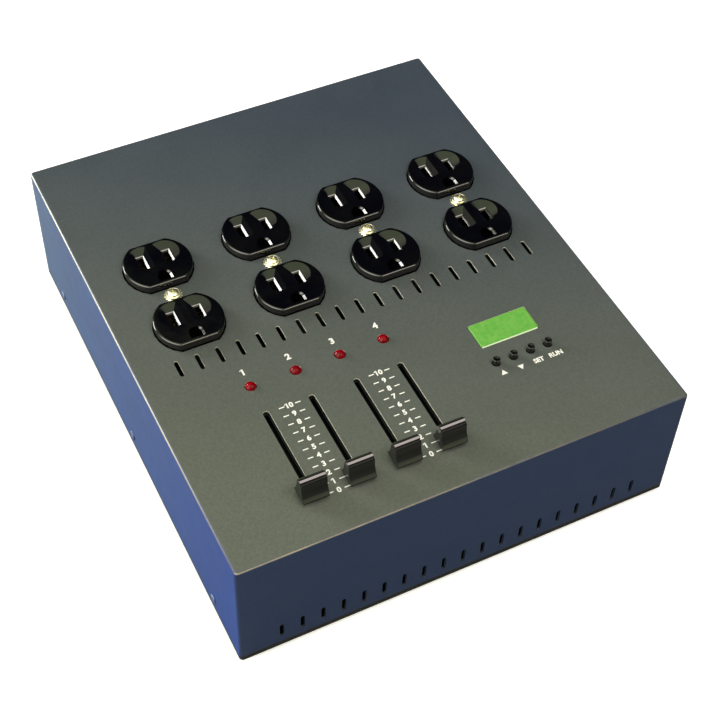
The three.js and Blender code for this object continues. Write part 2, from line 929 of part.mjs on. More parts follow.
// Menu button: a round stem from the switch on the board up through the panel
function menuButton() {
  const bottom = controlTop + switchHeight - switchBoreDepth + buttonTravel + fitGap;
  const top = panelTop + buttonRise;
  return turned([
    [0, bottom],
    [buttonRadius, bottom],
    [buttonRadius, top - buttonEdge],
    [buttonRadius - buttonEdge, top],
    [0, top],
  ], smallSides);
}

// Boards
function boardSolid(width, depth, centreY, top) {
  const board = block(width, depth, boardSheet, 0, centreY, top - boardSheet);
  const holes = boardCorners(width, depth, centreY).map(([x, y]) => rod(
    standoffPinRadius + seatGap, boardSheet + 2 * cutOverrun, pinSides, x, y, top - boardSheet - cutOverrun,
  ));
  return cutBy(board, holes);
}

function controlBoard() {
  const sunk = boardSheet / 2;
  const switches = buttonXs.map((x) => block(
    switchSize, switchSize, switchHeight + sunk, x, buttonY, controlTop - sunk,
  ));
  const bores = buttonXs.map((x) => rod(
    buttonRadius + switchBoreGap,
    switchBoreDepth + cutOverrun,
    smallSides,
    x, buttonY, controlTop + switchHeight - switchBoreDepth,
  ));
  const underside = controlTop - boardSheet;
  const processor = block(
    chipWidth, chipLength, chipHeight + sunk, displayX, controlY, underside - chipHeight,
  );
  const header = block(
    headerWidth, headerDepth, headerHeight + sunk, faderRowX, lampY, underside - headerHeight,
  );
  const board = boardSolid(controlWidth, controlDepth, controlY, controlTop);
  return toGeometry(cutBy(joined([board, ...switches, processor, header]), bores));
}

function powerBoard() {
  const sunk = boardSheet / 2;
  const chokes = outletXs.map((x) => choke().translate([x, outletRowY, powerTop + chokeTube - sunk]));
  const drivers = outletXs.map((x) => block(
    chipLength / 2, chipWidth, chipHeight + sunk, x, outletRowY - 2 * chokeRadius, powerTop - sunk,
  ));
  const board = boardSolid(powerWidth, powerDepth, powerY, powerTop);
  return toGeometry(joined([board, ...chokes, ...drivers, terminalBlock(sunk)]));
}

function choke() {
  return toSolid(new THREE.TorusGeometry(chokeRadius, chokeTube, chokeTubeSides, smallSides));
}

function terminalBlock(sunk) {
  const y = powerRear - terminalDepth;
  const top = powerTop + terminalHeight;
  const pitch = terminalWidth / terminalCount;
  const body = block(terminalWidth, terminalDepth, terminalHeight + sunk, terminalX, y, powerTop - sunk);
  const notches = centredRow(terminalCount, pitch, terminalX).map((x) => block(
    pitch / 2, terminalNotch, terminalNotch + cutOverrun, x, y + terminalDepth / 2, top - terminalNotch,
  ));
  return cutBy(body, notches);
}

// Heat sink: an upright plate with a foot and fins towards the front
function heatSink() {
  const front = sinkRearY - sinkPlate;
  const bottom = baseTop + seatGap;
  const top = bottom + sinkHeight;
  const finPitch = (sinkHeight - sinkFootSheet) / finCount;
  const profile = new THREE.Shape();
  profile.moveTo(sinkRearY, bottom);
  profile.lineTo(sinkRearY, top);
  profile.lineTo(front, top);
  for (let fin = finCount; fin > 0; fin -= 1) {
    const finTop = bottom + sinkFootSheet + fin * finPitch - finSheet;
    profile.lineTo(front, finTop);
    profile.lineTo(front - finLength, finTop);
    profile.lineTo(front - finLength, finTop - finSheet);
    profile.lineTo(front, finTop - finSheet);
  }
  profile.lineTo(front, bottom + sinkFootSheet);
  profile.lineTo(front - sinkFootDepth, bottom + sinkFootSheet);
  profile.lineTo(front - sinkFootDepth, bottom);
  return toGeometry(sweptAcross(profile, caseWidth - 2 * sinkSideInset));
}

// Triac with its tab on the heat sink: z = 0 is the top of the power board
function triac() {
  const backY = seatGap;
  const body = block(triacWidth, triacThickness, triacBody, 0, backY + triacThickness / 2, triacLift);
  const tab = block(
    triacWidth, triacTabSheet, triacTabHeight + triacBody / 2,
    0, backY + triacTabSheet / 2, triacLift + triacBody / 2,
  );
  const hole = rod(triacTabHoleRadius, triacTabSheet + 2 * cutOverrun, pinSides)
    .rotate([-90, 0, 0])
    .translate([0, backY - cutOverrun, triacLift + triacBody + triacTabHeight / 2]);
  const leads = centredRow(triacLeadCount, triacLeadPitch, 0).map((x) => block(
    triacLead, triacLead, triacLift - seatGap + triacLead, x, backY + triacThickness / 2, seatGap,
  ));
  return toGeometry(cutBy(joined([body, tab, ...leads]), [hole]));
}

// Mains transformer: a laminated frame round a coil, with z = 0 on the power board
function transformer() {
  const windowWidth = (coreWidth - 3 * coreLimb) / 2;
  const windowX = (coreLimb + windowWidth) / 2;
  const windowHeight = coreHeight - 2 * coreLimb;
  const core = block(coreWidth, coreDepth, coreHeight, 0, 0, coilBase);
  const windows = [-1, 1].map((side) => block(
    windowWidth, coreDepth + 2 * cutOverrun, windowHeight, side * windowX, 0, coilBase + coreLimb,
  ));
  const coil = block(coilWidth, coilDepth, windowHeight - 2 * seatGap, 0, 0, coilBase + coreLimb + seatGap);
  const bobbin = block(coilWidth, coilDepth, coilBase + seatGap, 0, 0, 0);
  return toGeometry(joined([cutBy(core, windows), coil, bobbin]));
}

// Rear fittings: z = 0 is the outer face of the rear wall and z points out of the case
function socketBlank() {
  const outline = roundedRectangle(flangeWidth, flangeHeight, flangeCorner);
  const flange = slab(outline, flangeSheet, 0, 0, fitGap, edgeSteps);
  const barrel = rod(barrelRadius, barrelDepth + fitGap + flangeSheet / 2, roundSides, 0, 0, -barrelDepth);
  return joined([flange, barrel]);
}

function contactPlaces() {
  return [Math.PI / 2, Math.PI, 2 * Math.PI]
    .map((turn) => [pinCircle * Math.cos(turn), pinCircle * Math.sin(turn)]);
}

function inputSocket() {
  const front = fitGap + flangeSheet;
  const cup = rod(cupRadius, cupDepth + cutOverrun, roundSides, 0, 0, front - cupDepth);
  const pins = contactPlaces().map(([x, y]) => rod(
    pinRadius, pinLength + seatGap, pinSides, x, y, front - cupDepth - seatGap,
  ));
  return toGeometry(joined([socketBlank().subtract(cup), ...pins]));
}

// The box behind the flange that the latch slides in
function latchBoxWidth() {
  return latchWidth + 2 * fitGap + 2 * latchWall;
}

function latchBoxHeight() {
  return latchHeight + 2 * fitGap + 2 * latchWall;
}

function outputSocket() {
  const front = fitGap + flangeSheet;
  const floor = front - cupDepth;
  const cup = rod(cupRadius, cupDepth + cutOverrun, roundSides, 0, 0, floor);
  const insert = rod(insertRadius, cupDepth + 2 * cutOverrun, roundSides, 0, 0, floor - cutOverrun);
  const groove = cup.subtract(insert);
  const holes = contactPlaces().map(([x, y]) => rod(
    pinHoleRadius, pinLength + cutOverrun, pinSides, x, y, front - pinLength,
  ));
  const latchBay = block(
    latchWidth + 2 * fitGap,
    latchHeight + 2 * fitGap,
    latchDepth + fitGap + cutOverrun,
    0, -latchOffset, front - latchDepth - fitGap,
  );
  const latchBox = block(
    latchBoxWidth(),
    latchBoxHeight(),
    latchDepth + fitGap,
    0, -latchOffset, front - latchDepth - fitGap - latchWall,
  );
  return toGeometry(cutBy(socketBlank().add(latchBox), [groove, ...holes, latchBay]));
}

function outputLatch() {
  const front = fitGap + flangeSheet;
  const bottom = front - latchDepth + latchTravel;
  return toGeometry(block(latchWidth, latchHeight, front + latchRise - bottom, 0, 0, bottom));
}

function breakerBody() {
  const wallInner = -coverSheet - fitGap;
  const box = block(breakerWidth, breakerHeight, breakerDepth, 0, 0, wallInner - breakerDepth);
  const neck = rod(neckRadius, neckRise - wallInner + seatGap, roundSides, 0, 0, wallInner - seatGap);
  const nut = rod(nutRadius, nutHeight, hexSides, 0, 0, fitGap);
  const bore = rod(resetRadius + fitGap, resetDepth + cutOverrun, smallSides, 0, 0, neckRise - resetDepth);
  return toGeometry(joined([box, neck, nut]).subtract(bore));
}

function breakerButton() {
  const bottom = neckRise - resetDepth + resetTravel + fitGap;
  const top = neckRise + resetRise;
  return turned([
    [0, bottom],
    [resetRadius, bottom],
    [resetRadius, top - resetEdge],
    [resetRadius - resetEdge, top],
    [0, top],
  ], smallSides);
}

// Cord gland: threaded sleeve, hexagon collar, domed clamping nut and the locknut inside the wall
function cordGland() {
  const hexTop = fitGap + glandHexHeight;
  const domeTop = hexTop + glandDomeHeight;
  const lockTop = -coverSheet - fitGap;
  const sleeveLength = glandThreadDepth + fitGap + seatGap;
  const sleeve = rod(glandThreadRadius, sleeveLength, roundSides, 0, 0, -glandThreadDepth);
  const collar = rod(glandHexRadius, glandHexHeight, hexSides, 0, 0, fitGap);
  const locknut = rod(glandNutRadius, glandNutHeight, hexSides, 0, 0, lockTop - glandNutHeight);
  const profile = [[0, hexTop - seatGap], [glandDomeRadius, hexTop - seatGap]];
  const shoulder = glandDomeHeight / 2;
  for (let step = 0; step <= domeSteps; step += 1) {
    const turn = (step / domeSteps) * (Math.PI / 2);
    const inward = (glandDomeRadius - glandBoreRadius - glandWall) * (1 - Math.cos(turn));
    profile.push([glandDomeRadius - inward, hexTop + shoulder + shoulder * Math.sin(turn)]);
  }
  profile.push([0, domeTop]);
  const boreLength = glandThreadDepth + domeTop + 2 * cutOverrun;
  const bore = rod(glandBoreRadius, boreLength, roundSides, 0, 0, -glandThreadDepth - cutOverrun);
  const dome = toSolid(turned(profile, roundSides));
  return toGeometry(joined([sleeve, collar, locknut, dome]).subtract(bore));
}

// Assembly
const pack = new THREE.Group();
pack.position.y = -rearReach / 2;

function add(name, geometry, material, x = 0, y = 0, z = 0) {
  const mesh = new THREE.Mesh(geometry, material);
  mesh.name = name;
  mesh.position.set(x, y, z);
  pack.add(mesh);
  return mesh;
}

function addRear(name, geometry, material, x, z = rearRowZ) {
  add(name, geometry, material, x, rearFace, z).rotation.x = -Math.PI / 2;
}

add('case_cover', caseCover(), greyPaint());
add('base_plate', basePlate(), greyPaint());
for (const [place, x, y] of footPlaces()) add(`foot_${place}`, foot(), softRubber(), x, y);

const screwSeat = caseWidth / 2 + seatGap;
for (const [sideName, side] of [['left', -1], ['right', 1]]) {
  ['front', 'middle', 'rear'].forEach((place, index) => {
    const name = `case_screw_${sideName}_${place}`;
    const screw = add(name, caseScrew(), zincSheet(), side * screwSeat, caseScrewYs[index], caseScrewZ);
    screw.rotation.y = side * Math.PI / 2;
  });
}

outletXs.forEach((x, index) => {
  const channel = index + 1;
  add(`receptacle_${channel}`, receptacle(), glossBlack(), x, outletRowY, panelTop);
  add(`receptacle_strap_${channel}`, receptacleStrap(), zincSheet(), x, outletRowY, panelTop);
  add(`receptacle_screw_${channel}`, receptacleScrew(), nickelPlate(), x, outletRowY, panelTop + seatGap);
  add(`triac_${channel}`, triac(), satinBlack(), x, sinkRearY, powerTop);
});

const leverY = faderSlotY - faderTravel / 2;
faderXs.forEach((x, index) => {
  const channel = index + 1;
  add(`channel_led_${channel}`, channelLamp(), redLens(), x, lampY, panelTop + lampRise - lampHeight);
  add(`fader_frame_${channel}`, faderFrame(), zincSheet(), x, faderSlotY, controlTop + seatGap);
  add(`fader_lever_${channel}`, faderLever(), zincSheet(), x, leverY, controlTop + seatGap);
  add(`fader_knob_${channel}`, faderKnob(), glossBlack(), x, leverY, panelTop + knobLift);
});

const windowBottom = panelTop + displayRise - displayThickness;
add('display_window', displayWindow(), displayGreen(), displayX, displayY, windowBottom);
add('display_holder', displayHolder(), satinBlack(), displayX, displayY, controlTop + seatGap);
['up', 'down', 'function', 'mode'].forEach((use, index) => {
  add(`button_${use}`, menuButton(), satinBlack(), buttonXs[index], buttonY);
});

add('control_board', controlBoard(), boardGreen());
add('power_board', powerBoard(), boardGreen());
add('heat_sink', heatSink(), aluminium());
const transformerY = powerRear - transformerInset - coilDepth / 2;
add('transformer', transformer(), laminated(), transformerX, transformerY, powerTop + seatGap);

addRear('data_input_socket', inputSocket(), satinBlack(), inputX);
addRear('data_output_socket', outputSocket(), satinBlack(), outputX);
addRear('data_output_latch', outputLatch(), nickelPlate(), outputX, rearRowZ + latchOffset);
addRear('breaker_body', breakerBody(), satinBlack(), breakerX);
addRear('breaker_button', breakerButton(), redCap(), breakerX);
addRear('cord_gland', cordGland(), satinBlack(), glandX);

export default pack;
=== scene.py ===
# Dimmer pack: finishes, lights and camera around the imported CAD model
import bpy
import bmesh
import math
from mathutils import Matrix, Vector


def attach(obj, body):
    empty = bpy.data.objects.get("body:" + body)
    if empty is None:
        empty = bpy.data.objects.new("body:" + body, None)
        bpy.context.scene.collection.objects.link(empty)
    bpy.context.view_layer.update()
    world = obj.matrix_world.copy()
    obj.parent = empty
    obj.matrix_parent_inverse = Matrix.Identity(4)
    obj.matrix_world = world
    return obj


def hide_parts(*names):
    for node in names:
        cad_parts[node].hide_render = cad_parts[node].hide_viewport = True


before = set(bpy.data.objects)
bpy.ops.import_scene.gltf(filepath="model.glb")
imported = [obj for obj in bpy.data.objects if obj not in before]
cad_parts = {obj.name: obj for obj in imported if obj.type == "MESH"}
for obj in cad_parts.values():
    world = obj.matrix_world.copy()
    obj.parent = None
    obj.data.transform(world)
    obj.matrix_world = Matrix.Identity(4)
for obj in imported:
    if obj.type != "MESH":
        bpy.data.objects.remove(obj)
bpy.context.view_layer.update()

mm = 0.001            # every size below is in millimetres
packShift = -8.65     # the middle of the case along Y
panelTop = 73.0       # the painted panel's height above the floor
rearFace = 130.0      # the rear wall, from the middle of the case
rearRow = 39.0        # height of the rear fittings
rearSeat = 0.3        # how far out the rear fittings rest
channels = [1, 2, 3, 4]
columns = {n: -65.0 + 22.0 * (n - 1) for n in channels}    # X of each channel's lamp and fader
print("frame loaded,", len(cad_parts), "nodes")


def at(x, y, z=0.0):
    return Matrix.Translation((x, y, z))


def newObject(name, data):
    made = bpy.data.objects.new(name, data)
    bpy.context.scene.collection.objects.link(made)
    return made


# Camera, as the photograph was taken
cameraView = {
    "place": (-0.22068, -0.44641, 0.59607),
    "turnDegrees": (40.0235, -1.4937, -26.2262),
    "lens": 75.7,
    "sensor": 36.0,
}
cameraData = bpy.data.cameras.new("camera")
cameraData.lens = cameraView["lens"]
cameraData.sensor_width = cameraView["sensor"]
cameraData.clip_start = 0.01
camera = newObject("camera", cameraData)
camera.location = cameraView["place"]
camera.rotation_euler = [math.radians(angle) for angle in cameraView["turnDegrees"]]
bpy.context.scene.camera = camera
bpy.context.scene.view_settings.view_transform = "Standard"
print("camera set")


# Node helpers; a socket takes a number, a colour or another node's output
def feed(tree, node, values):
    for name, value in values.items():
        socket = node.inputs[name]
        if isinstance(value, bpy.types.NodeSocket):
            tree.links.new(value, socket)
        else:
            socket.default_value = (*value, 1) if socket.type == "RGBA" else value


def addNode(tree, kind, inputs=None, **settings):
    node = tree.nodes.new(kind)
    for name, value in settings.items():
        setattr(node, name, value)
    feed(tree, node, inputs or {})
    return node


def addRange(tree, source, low, high, start=0.0, end=1.0):
    spread = addNode(tree, "ShaderNodeMapRange", {
        "Value": source, "From Min": low, "From Max": high, "To Min": start, "To Max": end,
    })
    return spread.outputs["Result"]


def addMath(tree, operation, first, second=0.0):
    return addNode(tree, "ShaderNodeMath", {0: first, 1: second}, operation=operation).outputs["Value"]


def addProduct(tree, product, *factors):
    for factor in factors:
        product = addMath(tree, "MULTIPLY", product, factor)
    return product


def addMix(tree, factor, first, second, blend="MIX"):
    inputs = {"Factor": factor, "A": first, "B": second}
    return addNode(tree, "ShaderNodeMix", inputs, data_type="RGBA", blend_type=blend).outputs["Result"]


def addVectorMath(tree, operation, first, second):
    return addNode(tree, "ShaderNodeVectorMath", {0: first, 1: second}, operation=operation).outputs


def addNoise(tree, place, scale, detail, roughness=0.5):
    inputs = {"Vector": place, "Scale": scale, "Detail": detail, "Roughness": roughness}
    return addNode(tree, "ShaderNodeTexNoise", inputs).outputs["Fac"]


def addCoords(tree):
    return addNode(tree, "ShaderNodeTexCoord").outputs


def splitVector(tree, vector):
    return addNode(tree, "ShaderNodeSeparateXYZ", {"Vector": vector}).outputs


def newGroup(name, inputs, output, outputKind):
    group = bpy.data.node_groups.new(name, "ShaderNodeTree")
    for socket, (kind, value) in inputs.items():
        made = group.interface.new_socket(name=socket, in_out="INPUT", socket_type="NodeSocket" + kind)
        made.default_value = value
    group.interface.new_socket(name=output, in_out="OUTPUT", socket_type="NodeSocket" + outputKind)
    return group, addNode(group, "NodeGroupInput").outputs, addNode(group, "NodeGroupOutput")


def addGroup(tree, group, **inputs):
    return addNode(tree, "ShaderNodeGroup", inputs, node_tree=group).outputs[0]


materials = {}


def newMaterial(name, color, roughness, metallic=0.0):
    materials[name] = material = bpy.data.materials.new(name)
    material.use_nodes = True
    material.diffuse_color = (*color, 1)
    tree = material.node_tree
    shader = tree.nodes["Principled BSDF"]
    feed(tree, shader, {"Base Color": color, "Roughness": roughness, "Metallic": metallic})
    return tree, shader


# Shared effects
def makeGrainGroup():
    # fine bumps all over a surface, as paint, moulding texture or plating has
    group, given, result = newGroup("surfaceGrain", {
        "Scale": ("Float", 1500.0), "Depth": ("Float", 0.00002), "Stretch": ("Vector", (1, 1, 1)),
    }, "Normal", "Vector")
    place = addVectorMath(group, "MULTIPLY", addCoords(group)["Object"], given["Stretch"])["Vector"]
    height = addNoise(group, place, given["Scale"], 3.0, 0.55)
    bump = addNode(group, "ShaderNodeBump", {"Strength": 1.0, "Height": height, "Distance": given["Depth"]})
    feed(group, result, {"Normal": bump.outputs["Normal"]})
    return group


def makeDriftGroup():
    # a colour that wanders a little between two tones over some distance
    group, given, result = newGroup("colourDrift", {
        "Color": ("Color", (0.5, 0.5, 0.5, 1)), "Other": ("Color", (0.4, 0.4, 0.4, 1)), "Scale": ("Float", 20.0),
    }, "Color", "Color")
    noise = addNoise(group, addCoords(group)["Object"], given["Scale"], 4.0)
    feed(group, result, {"Color": addMix(group, addRange(group, noise, 0.35, 0.65), given["Color"], given["Other"])})
    return group


def makeSmudgeGroup():
    # roughness that varies softly, as handled plastic and metal has
    group, given, result = newGroup("handledGloss", {
        "Low": ("Float", 0.1), "High": ("Float", 0.2), "Scale": ("Float", 120.0),
    }, "Roughness", "Float")
    noise = addNoise(group, addCoords(group)["Object"], given["Scale"], 5.0, 0.6)
    feed(group, result, {"Roughness": addRange(group, noise, 0.3, 0.7, given["Low"], given["High"])})
    return group


grainGroup = makeGrainGroup()
driftGroup = makeDriftGroup()
smudgeGroup = makeSmudgeGroup()


casePaintLook = {
    "panelFrontLit": (0.081, 0.089, 0.076),   # olive grey paint with painted light, lighter and warmer near the operator
    "panelRearShaded": (0.032, 0.042, 0.063),    # painted shade, darker and colder towards the rear
    "panelWay": (0.45, 0.95, 0),           # from the left front corner to the right rear one
    "panelReach": (-0.135, 0.118),         # where the two colours end on that way, in metres
    "sidesBlueLightFront": (0.014, 0.051, 0.245),   # painted blue light on the grey paint of the side walls, greyer towards the rear as painted sheen
    "sidesBlueLightRear": (0.068, 0.115, 0.215),
    "ends": (0.017, 0.037, 0.102),         # painted shade and painted blue light: darker front and rear walls
    "bendHighlightLeft": (0.54, 0.51, 0.36),        # painted highlight on the left bend
    "bendHighlightFront": (0.37, 0.32, 0.225),      # painted highlight on the front bend, near the left corner
    "bendHighlightDim": (0.085, 0.068, 0.042),         # dimmer brown end of the painted bend highlights
    "bendHighlightStrength": 0.95,
    "cutEdgeHighlight": (0.78, 0.76, 0.64),         # painted highlight on the edge of each punched slot
    "cutHighlightDepth": 0.5,
    "seamShade": (0.012, 0.011, 0.008),          # painted shade along the seam at the foot of the front and rear walls
    "seamShadeTop": 6.2, "seamShadeFade": 0.2,
    "gloss": (0.34, 0.46),
    "halfWidth": 110.0, "halfDepth": 130.0, "bend": 1.2,
}


def makeCasePaint():
    look = casePaintLook
    low, high = look["gloss"]
    tree, shader = newMaterial("casePaint", look["panelFrontLit"], low)
    coords = addCoords(tree)
    place = coords["Object"]
    x, y, z = splitVector(tree, place)
    _, faceY, faceZ = splitVector(tree, coords["Normal"])

    # the panel's colour with painted light and shade, and the walls' colours with painted blue light, darker on the
    # front and rear walls as painted shade; they start on the bends
    halfWidth, halfDepth, bend, seamShadeTop = (look[key] * mm for key in ("halfWidth", "halfDepth", "bend", "seamShadeTop"))
    # painted light and shade across the panel: lighter at the left front, darker at the right rear
    along = addVectorMath(tree, "DOT_PRODUCT", place, look["panelWay"])["Value"]
    panel = addMix(tree, addRange(tree, along, *look["panelReach"]), look["panelFrontLit"], look["panelRearShaded"])
    sides = addMix(tree, addRange(tree, y, -halfDepth, halfDepth), look["sidesBlueLightFront"], look["sidesBlueLightRear"])
    # the lowest strip of the front and rear walls is dark as painted shade at the seam
    ends = addMix(tree, addRange(tree, z, seamShadeTop, seamShadeTop - look["seamShadeFade"] * mm), look["ends"], look["seamShade"])
    fromMiddle = addMath(tree, "ABSOLUTE", x)
    fromCentre = addMath(tree, "ABSOLUTE", addMath(tree, "SUBTRACT", y, packShift * mm))
    coat = addMix(tree, addRange(tree, fromMiddle, halfWidth - bend, halfWidth - bend / 4), panel, sides)
    coat = addMix(tree, addRange(tree, fromCentre, halfDepth - bend, halfDepth - bend / 4), coat, ends)

    # a painted highlight on the top of each punched edge
    sideways = addRange(tree, faceZ, 0.3, 0.1)
    atTop = addMath(tree, "GREATER_THAN", z, (panelTop - look["cutHighlightDepth"]) * mm)
    inside = addMath(tree, "LESS_THAN", fromMiddle, halfWidth - 2 * bend)
    within = addMath(tree, "LESS_THAN", fromCentre, halfDepth - 2 * bend)
    coat = addMix(tree, addProduct(tree, sideways, atTop, inside, within), coat, look["cutEdgeHighlight"])

    # painted highlights on the bends: pale on the left bend towards the rear, beige on the front bend towards the left
    # corner, in patches
    highlightBreakup = addNoise(tree, place, 60.0, 5.0)
    patches = addRange(tree, highlightBreakup, 0.3, 0.6, 0.5 * look["bendHighlightStrength"], look["bendHighlightStrength"])
    bent = addProduct(tree, addRange(tree, faceZ, 0.25, 0.5), addRange(tree, faceZ, 0.97, 0.8), patches)
    leftHighlight = addMix(tree, addRange(tree, y, -halfDepth, -0.3 * halfDepth), look["bendHighlightDim"], look["bendHighlightLeft"])
    frontHighlight = addMix(tree, addRange(tree, x, 0.7 * halfWidth, -halfWidth), look["bendHighlightDim"], look["bendHighlightFront"])
    coat = addMix(tree, bent, coat, addMix(tree, addRange(tree, faceY, -0.15, -0.35), leftHighlight, frontHighlight))

    # tiny light and dark flecks in the paint
    flecks = addRange(tree, addNoise(tree, place, 900.0, 2.0), 0.3, 0.7, 0.88, 1.12)
    flecked = addNode(tree, "ShaderNodeVectorMath", {0: coat, "Scale": flecks}, operation="SCALE")
    feed(tree, shader, {
        "Base Color": flecked.outputs["Vector"],
        "Roughness": addGroup(tree, smudgeGroup, Low=low, High=high, Scale=35.0),
        "Normal": addGroup(tree, grainGroup, Scale=1400.0, Depth=0.012 * mm),
        "Specular IOR Level": 0.4,
    })


displayLook = {
    "middle": (0.130, 0.325, 0.058),
    "rim": (0.080, 0.285, 0.040),
    # painted highlight on the window's front edge
    "frontEdgeHighlight": (0.75, 0.85, 0.62),
    "scale": 420.0, "cells": 0.6, "glow": 0.20, "gloss": 0.3,
}


def makeDisplayGreen():
    # a lit, blank display: its green wanders between a darker and a brighter tone, with the cells just to be seen
    look = displayLook
    tree, shader = newMaterial("displayGreen", look["rim"], look["gloss"])
    coords = addCoords(tree)
    drift = addGroup(tree, driftGroup, Color=look["rim"], Other=look["middle"], Scale=look["scale"])
    cells = addNode(tree, "ShaderNodeTexBrick", {
        "Vector": coords["Object"], "Scale": look["scale"], "Mortar Size": 0.06, "Brick Width": 0.9,
        "Row Height": 1.3, "Color1": (1, 1, 1), "Color2": (0.96, 0.98, 0.94), "Mortar": (0.9, 0.94, 0.86),
    }, offset=0.0)
    lit = addMix(tree, look["cells"], drift, cells.outputs["Color"], "MULTIPLY")
    # a painted highlight, glowing with the rest, where the window's front edge catches the light
    atFront = addRange(tree, splitVector(tree, coords["Normal"])["Y"], -0.5, -0.8)
    color = addMix(tree, atFront, lit, look["frontEdgeHighlight"])
    feed(tree, shader, {"Base Color": color, "Emission Color": color, "Emission Strength": look["glow"]})


def makeBoardGreen():
    # solder mask with tracks and pads under it
    tree, shader = newMaterial("boardGreen", (0.02, 0.12, 0.05), 0.3)
    place = addCoords(tree)["Object"]
    tracks = addNode(tree, "ShaderNodeTexBrick", {
        "Vector": place, "Scale": 120.0, "Mortar Size": 0.05, "Brick Width": 1.7, "Row Height": 0.4,
        "Color1": (0.018, 0.105, 0.045), "Color2": (0.022, 0.12, 0.05), "Mortar": (0.05, 0.24, 0.09),
    }, offset=0.37)
    pads = addNode(tree, "ShaderNodeTexVoronoi", {"Vector": place, "Scale": 160.0})
    isPad = addMath(tree, "LESS_THAN", pads.outputs["Distance"], 0.16)
    color = addMix(tree, isPad, tracks.outputs["Color"], (0.55, 0.54, 0.5))
    feed(tree, shader, {"Base Color": color, "Metallic": isPad})


def makeLaminations():
    # stacked core plates, seen as fine lines
    tree, shader = newMaterial("coreLaminations", (0.09, 0.085, 0.08), 0.5, 0.6)
    plates = addNode(tree, "ShaderNodeTexWave", {
        "Vector": addCoords(tree)["Object"], "Scale": 620.0, "Distortion": 0.4, "Detail": 1.0,
    }, bands_direction="Y")
    feed(tree, shader, {"Base Color": addMix(tree, plates.outputs["Fac"], (0.05, 0.045, 0.04), (0.2, 0.19, 0.18))})


# two tones, the least and the most roughness, and the grain's scale and depth
finishes = {
    "glossBlack": {"color": (0.0025, 0.0025, 0.003), "other": (0.005, 0.005, 0.005),
                   "gloss": (0.06, 0.14), "grain": (300.0, 0.004), "IOR": 1.45},
    "outletBlack": {"color": (0.0008, 0.0008, 0.0012), "other": (0.002, 0.002, 0.002),
                    "gloss": (0.05, 0.12), "grain": (90.0, 0.03), "IOR": 1.45},
    "satinBlack": {"color": (0.011, 0.011, 0.012), "other": (0.018, 0.018, 0.019),
                   "gloss": (0.32, 0.46), "grain": (2600.0, 0.012)},
    "softRubber": {"color": (0.012, 0.012, 0.012), "other": (0.022, 0.021, 0.02),
                   "gloss": (0.7, 0.88), "grain": (1500.0, 0.03)},
    "nickelPlate": {"color": (0.86, 0.82, 0.66), "other": (0.74, 0.70, 0.54),
                    "gloss": (0.24, 0.36), "grain": (900.0, 0.008), "metal": 1.0},
    "zincSheet": {"color": (0.56, 0.57, 0.58), "other": (0.4, 0.41, 0.43),
                  "gloss": (0.28, 0.44), "grain": (700.0, 0.006), "metal": 1.0},
    "darkSteel": {"color": (0.035, 0.036, 0.042), "other": (0.022, 0.022, 0.026),
                  "gloss": (0.38, 0.5), "grain": (800.0, 0.006), "metal": 1.0},
    "drawnAluminium": {"color": (0.66, 0.67, 0.68), "other": (0.5, 0.51, 0.53),
                       "gloss": (0.25, 0.42), "grain": (900.0, 0.02), "metal": 1.0, "stretch": (0.02, 1, 1)},
    "bluedScrew": {"color": (0.16, 0.22, 0.42), "other": (0.10, 0.15, 0.30),
                   "gloss": (0.25, 0.4), "grain": (900.0, 0.008), "metal": 0.3},
    "baseBlack": {"color": (0.010, 0.011, 0.008), "other": (0.016, 0.017, 0.013),
                  "gloss": (0.45, 0.6), "grain": (1400.0, 0.012)},
    "brassContact": {"color": (0.72, 0.45, 0.16), "other": (0.5, 0.3, 0.1),
                     "gloss": (0.2, 0.35), "grain": (900.0, 0.01), "metal": 1.0},
    "redCap": {"color": (0.36, 0.012, 0.01), "other": (0.28, 0.008, 0.008),
               "gloss": (0.18, 0.28), "grain": (900.0, 0.006)},
    "redLens": {"color": (0.25, 0.0, 0.005), "other": (0.11, 0.0, 0.003), "drift": 700.0,
                "gloss": (0.04, 0.08), "grain": (400.0, 0.003), "Specular IOR Level": 0.08},
    "printWhite": {"color": (0.82, 0.82, 0.8), "other": (0.72, 0.72, 0.7), "drift": 900.0,
                   "gloss": (0.4, 0.55), "grain": (2500.0, 0.004)},
}


def makeFinish(name, color, other, gloss, grain, metal=0.0, drift=60.0, stretch=(1, 1, 1), **constants):
    (low, high), (scale, depth) = gloss, grain
    tree, shader = newMaterial(name, color, low, metal)
    feed(tree, shader, {
        "Base Color": addGroup(tree, driftGroup, Color=color, Other=other, Scale=drift),
        "Roughness": addGroup(tree, smudgeGroup, Low=low, High=high),
        "Normal": addGroup(tree, grainGroup, Scale=scale, Depth=depth * mm, Stretch=stretch),
        **constants,
    })


makeCasePaint()
makeDisplayGreen()
makeBoardGreen()
makeLaminations()
for name, look in finishes.items():
    makeFinish(name, **look)
print("materials made")


# Mesh helpers: outlines are closed loops of edges, stacked and bridged into solids
capMargin = 0.3    # a narrow rim on each flat top keeps the shade of its rounded edge off it


def circleLoop(bm, radius, z, segments=64):
    turn = at(0, 0, z) @ Matrix.Rotation(math.pi / segments, 4, "Z")
    return bmesh.ops.create_circle(bm, radius=radius, segments=segments, matrix=turn)["verts"]


def clippedLoop(bm, radius, flats, z):
    verts = circleLoop(bm, radius, z, 128)
    for vert in verts:
        vert.co.y = max(-flats / 2, min(flats / 2, vert.co.y))
    return verts


def roundedLoop(bm, width, depth, radius, z):
    # a circle whose quarters are pushed out to the four corners
    verts = circleLoop(bm, radius, z, 48)
    for vert in verts:
        vert.co.x += math.copysign(width / 2 - radius, vert.co.x)
        vert.co.y += math.copysign(depth / 2 - radius, vert.co.y)
    return verts


def loopEdges(bm, verts):
    verts = set(verts)
    return [edge for edge in bm.edges if verts.issuperset(edge.verts)]


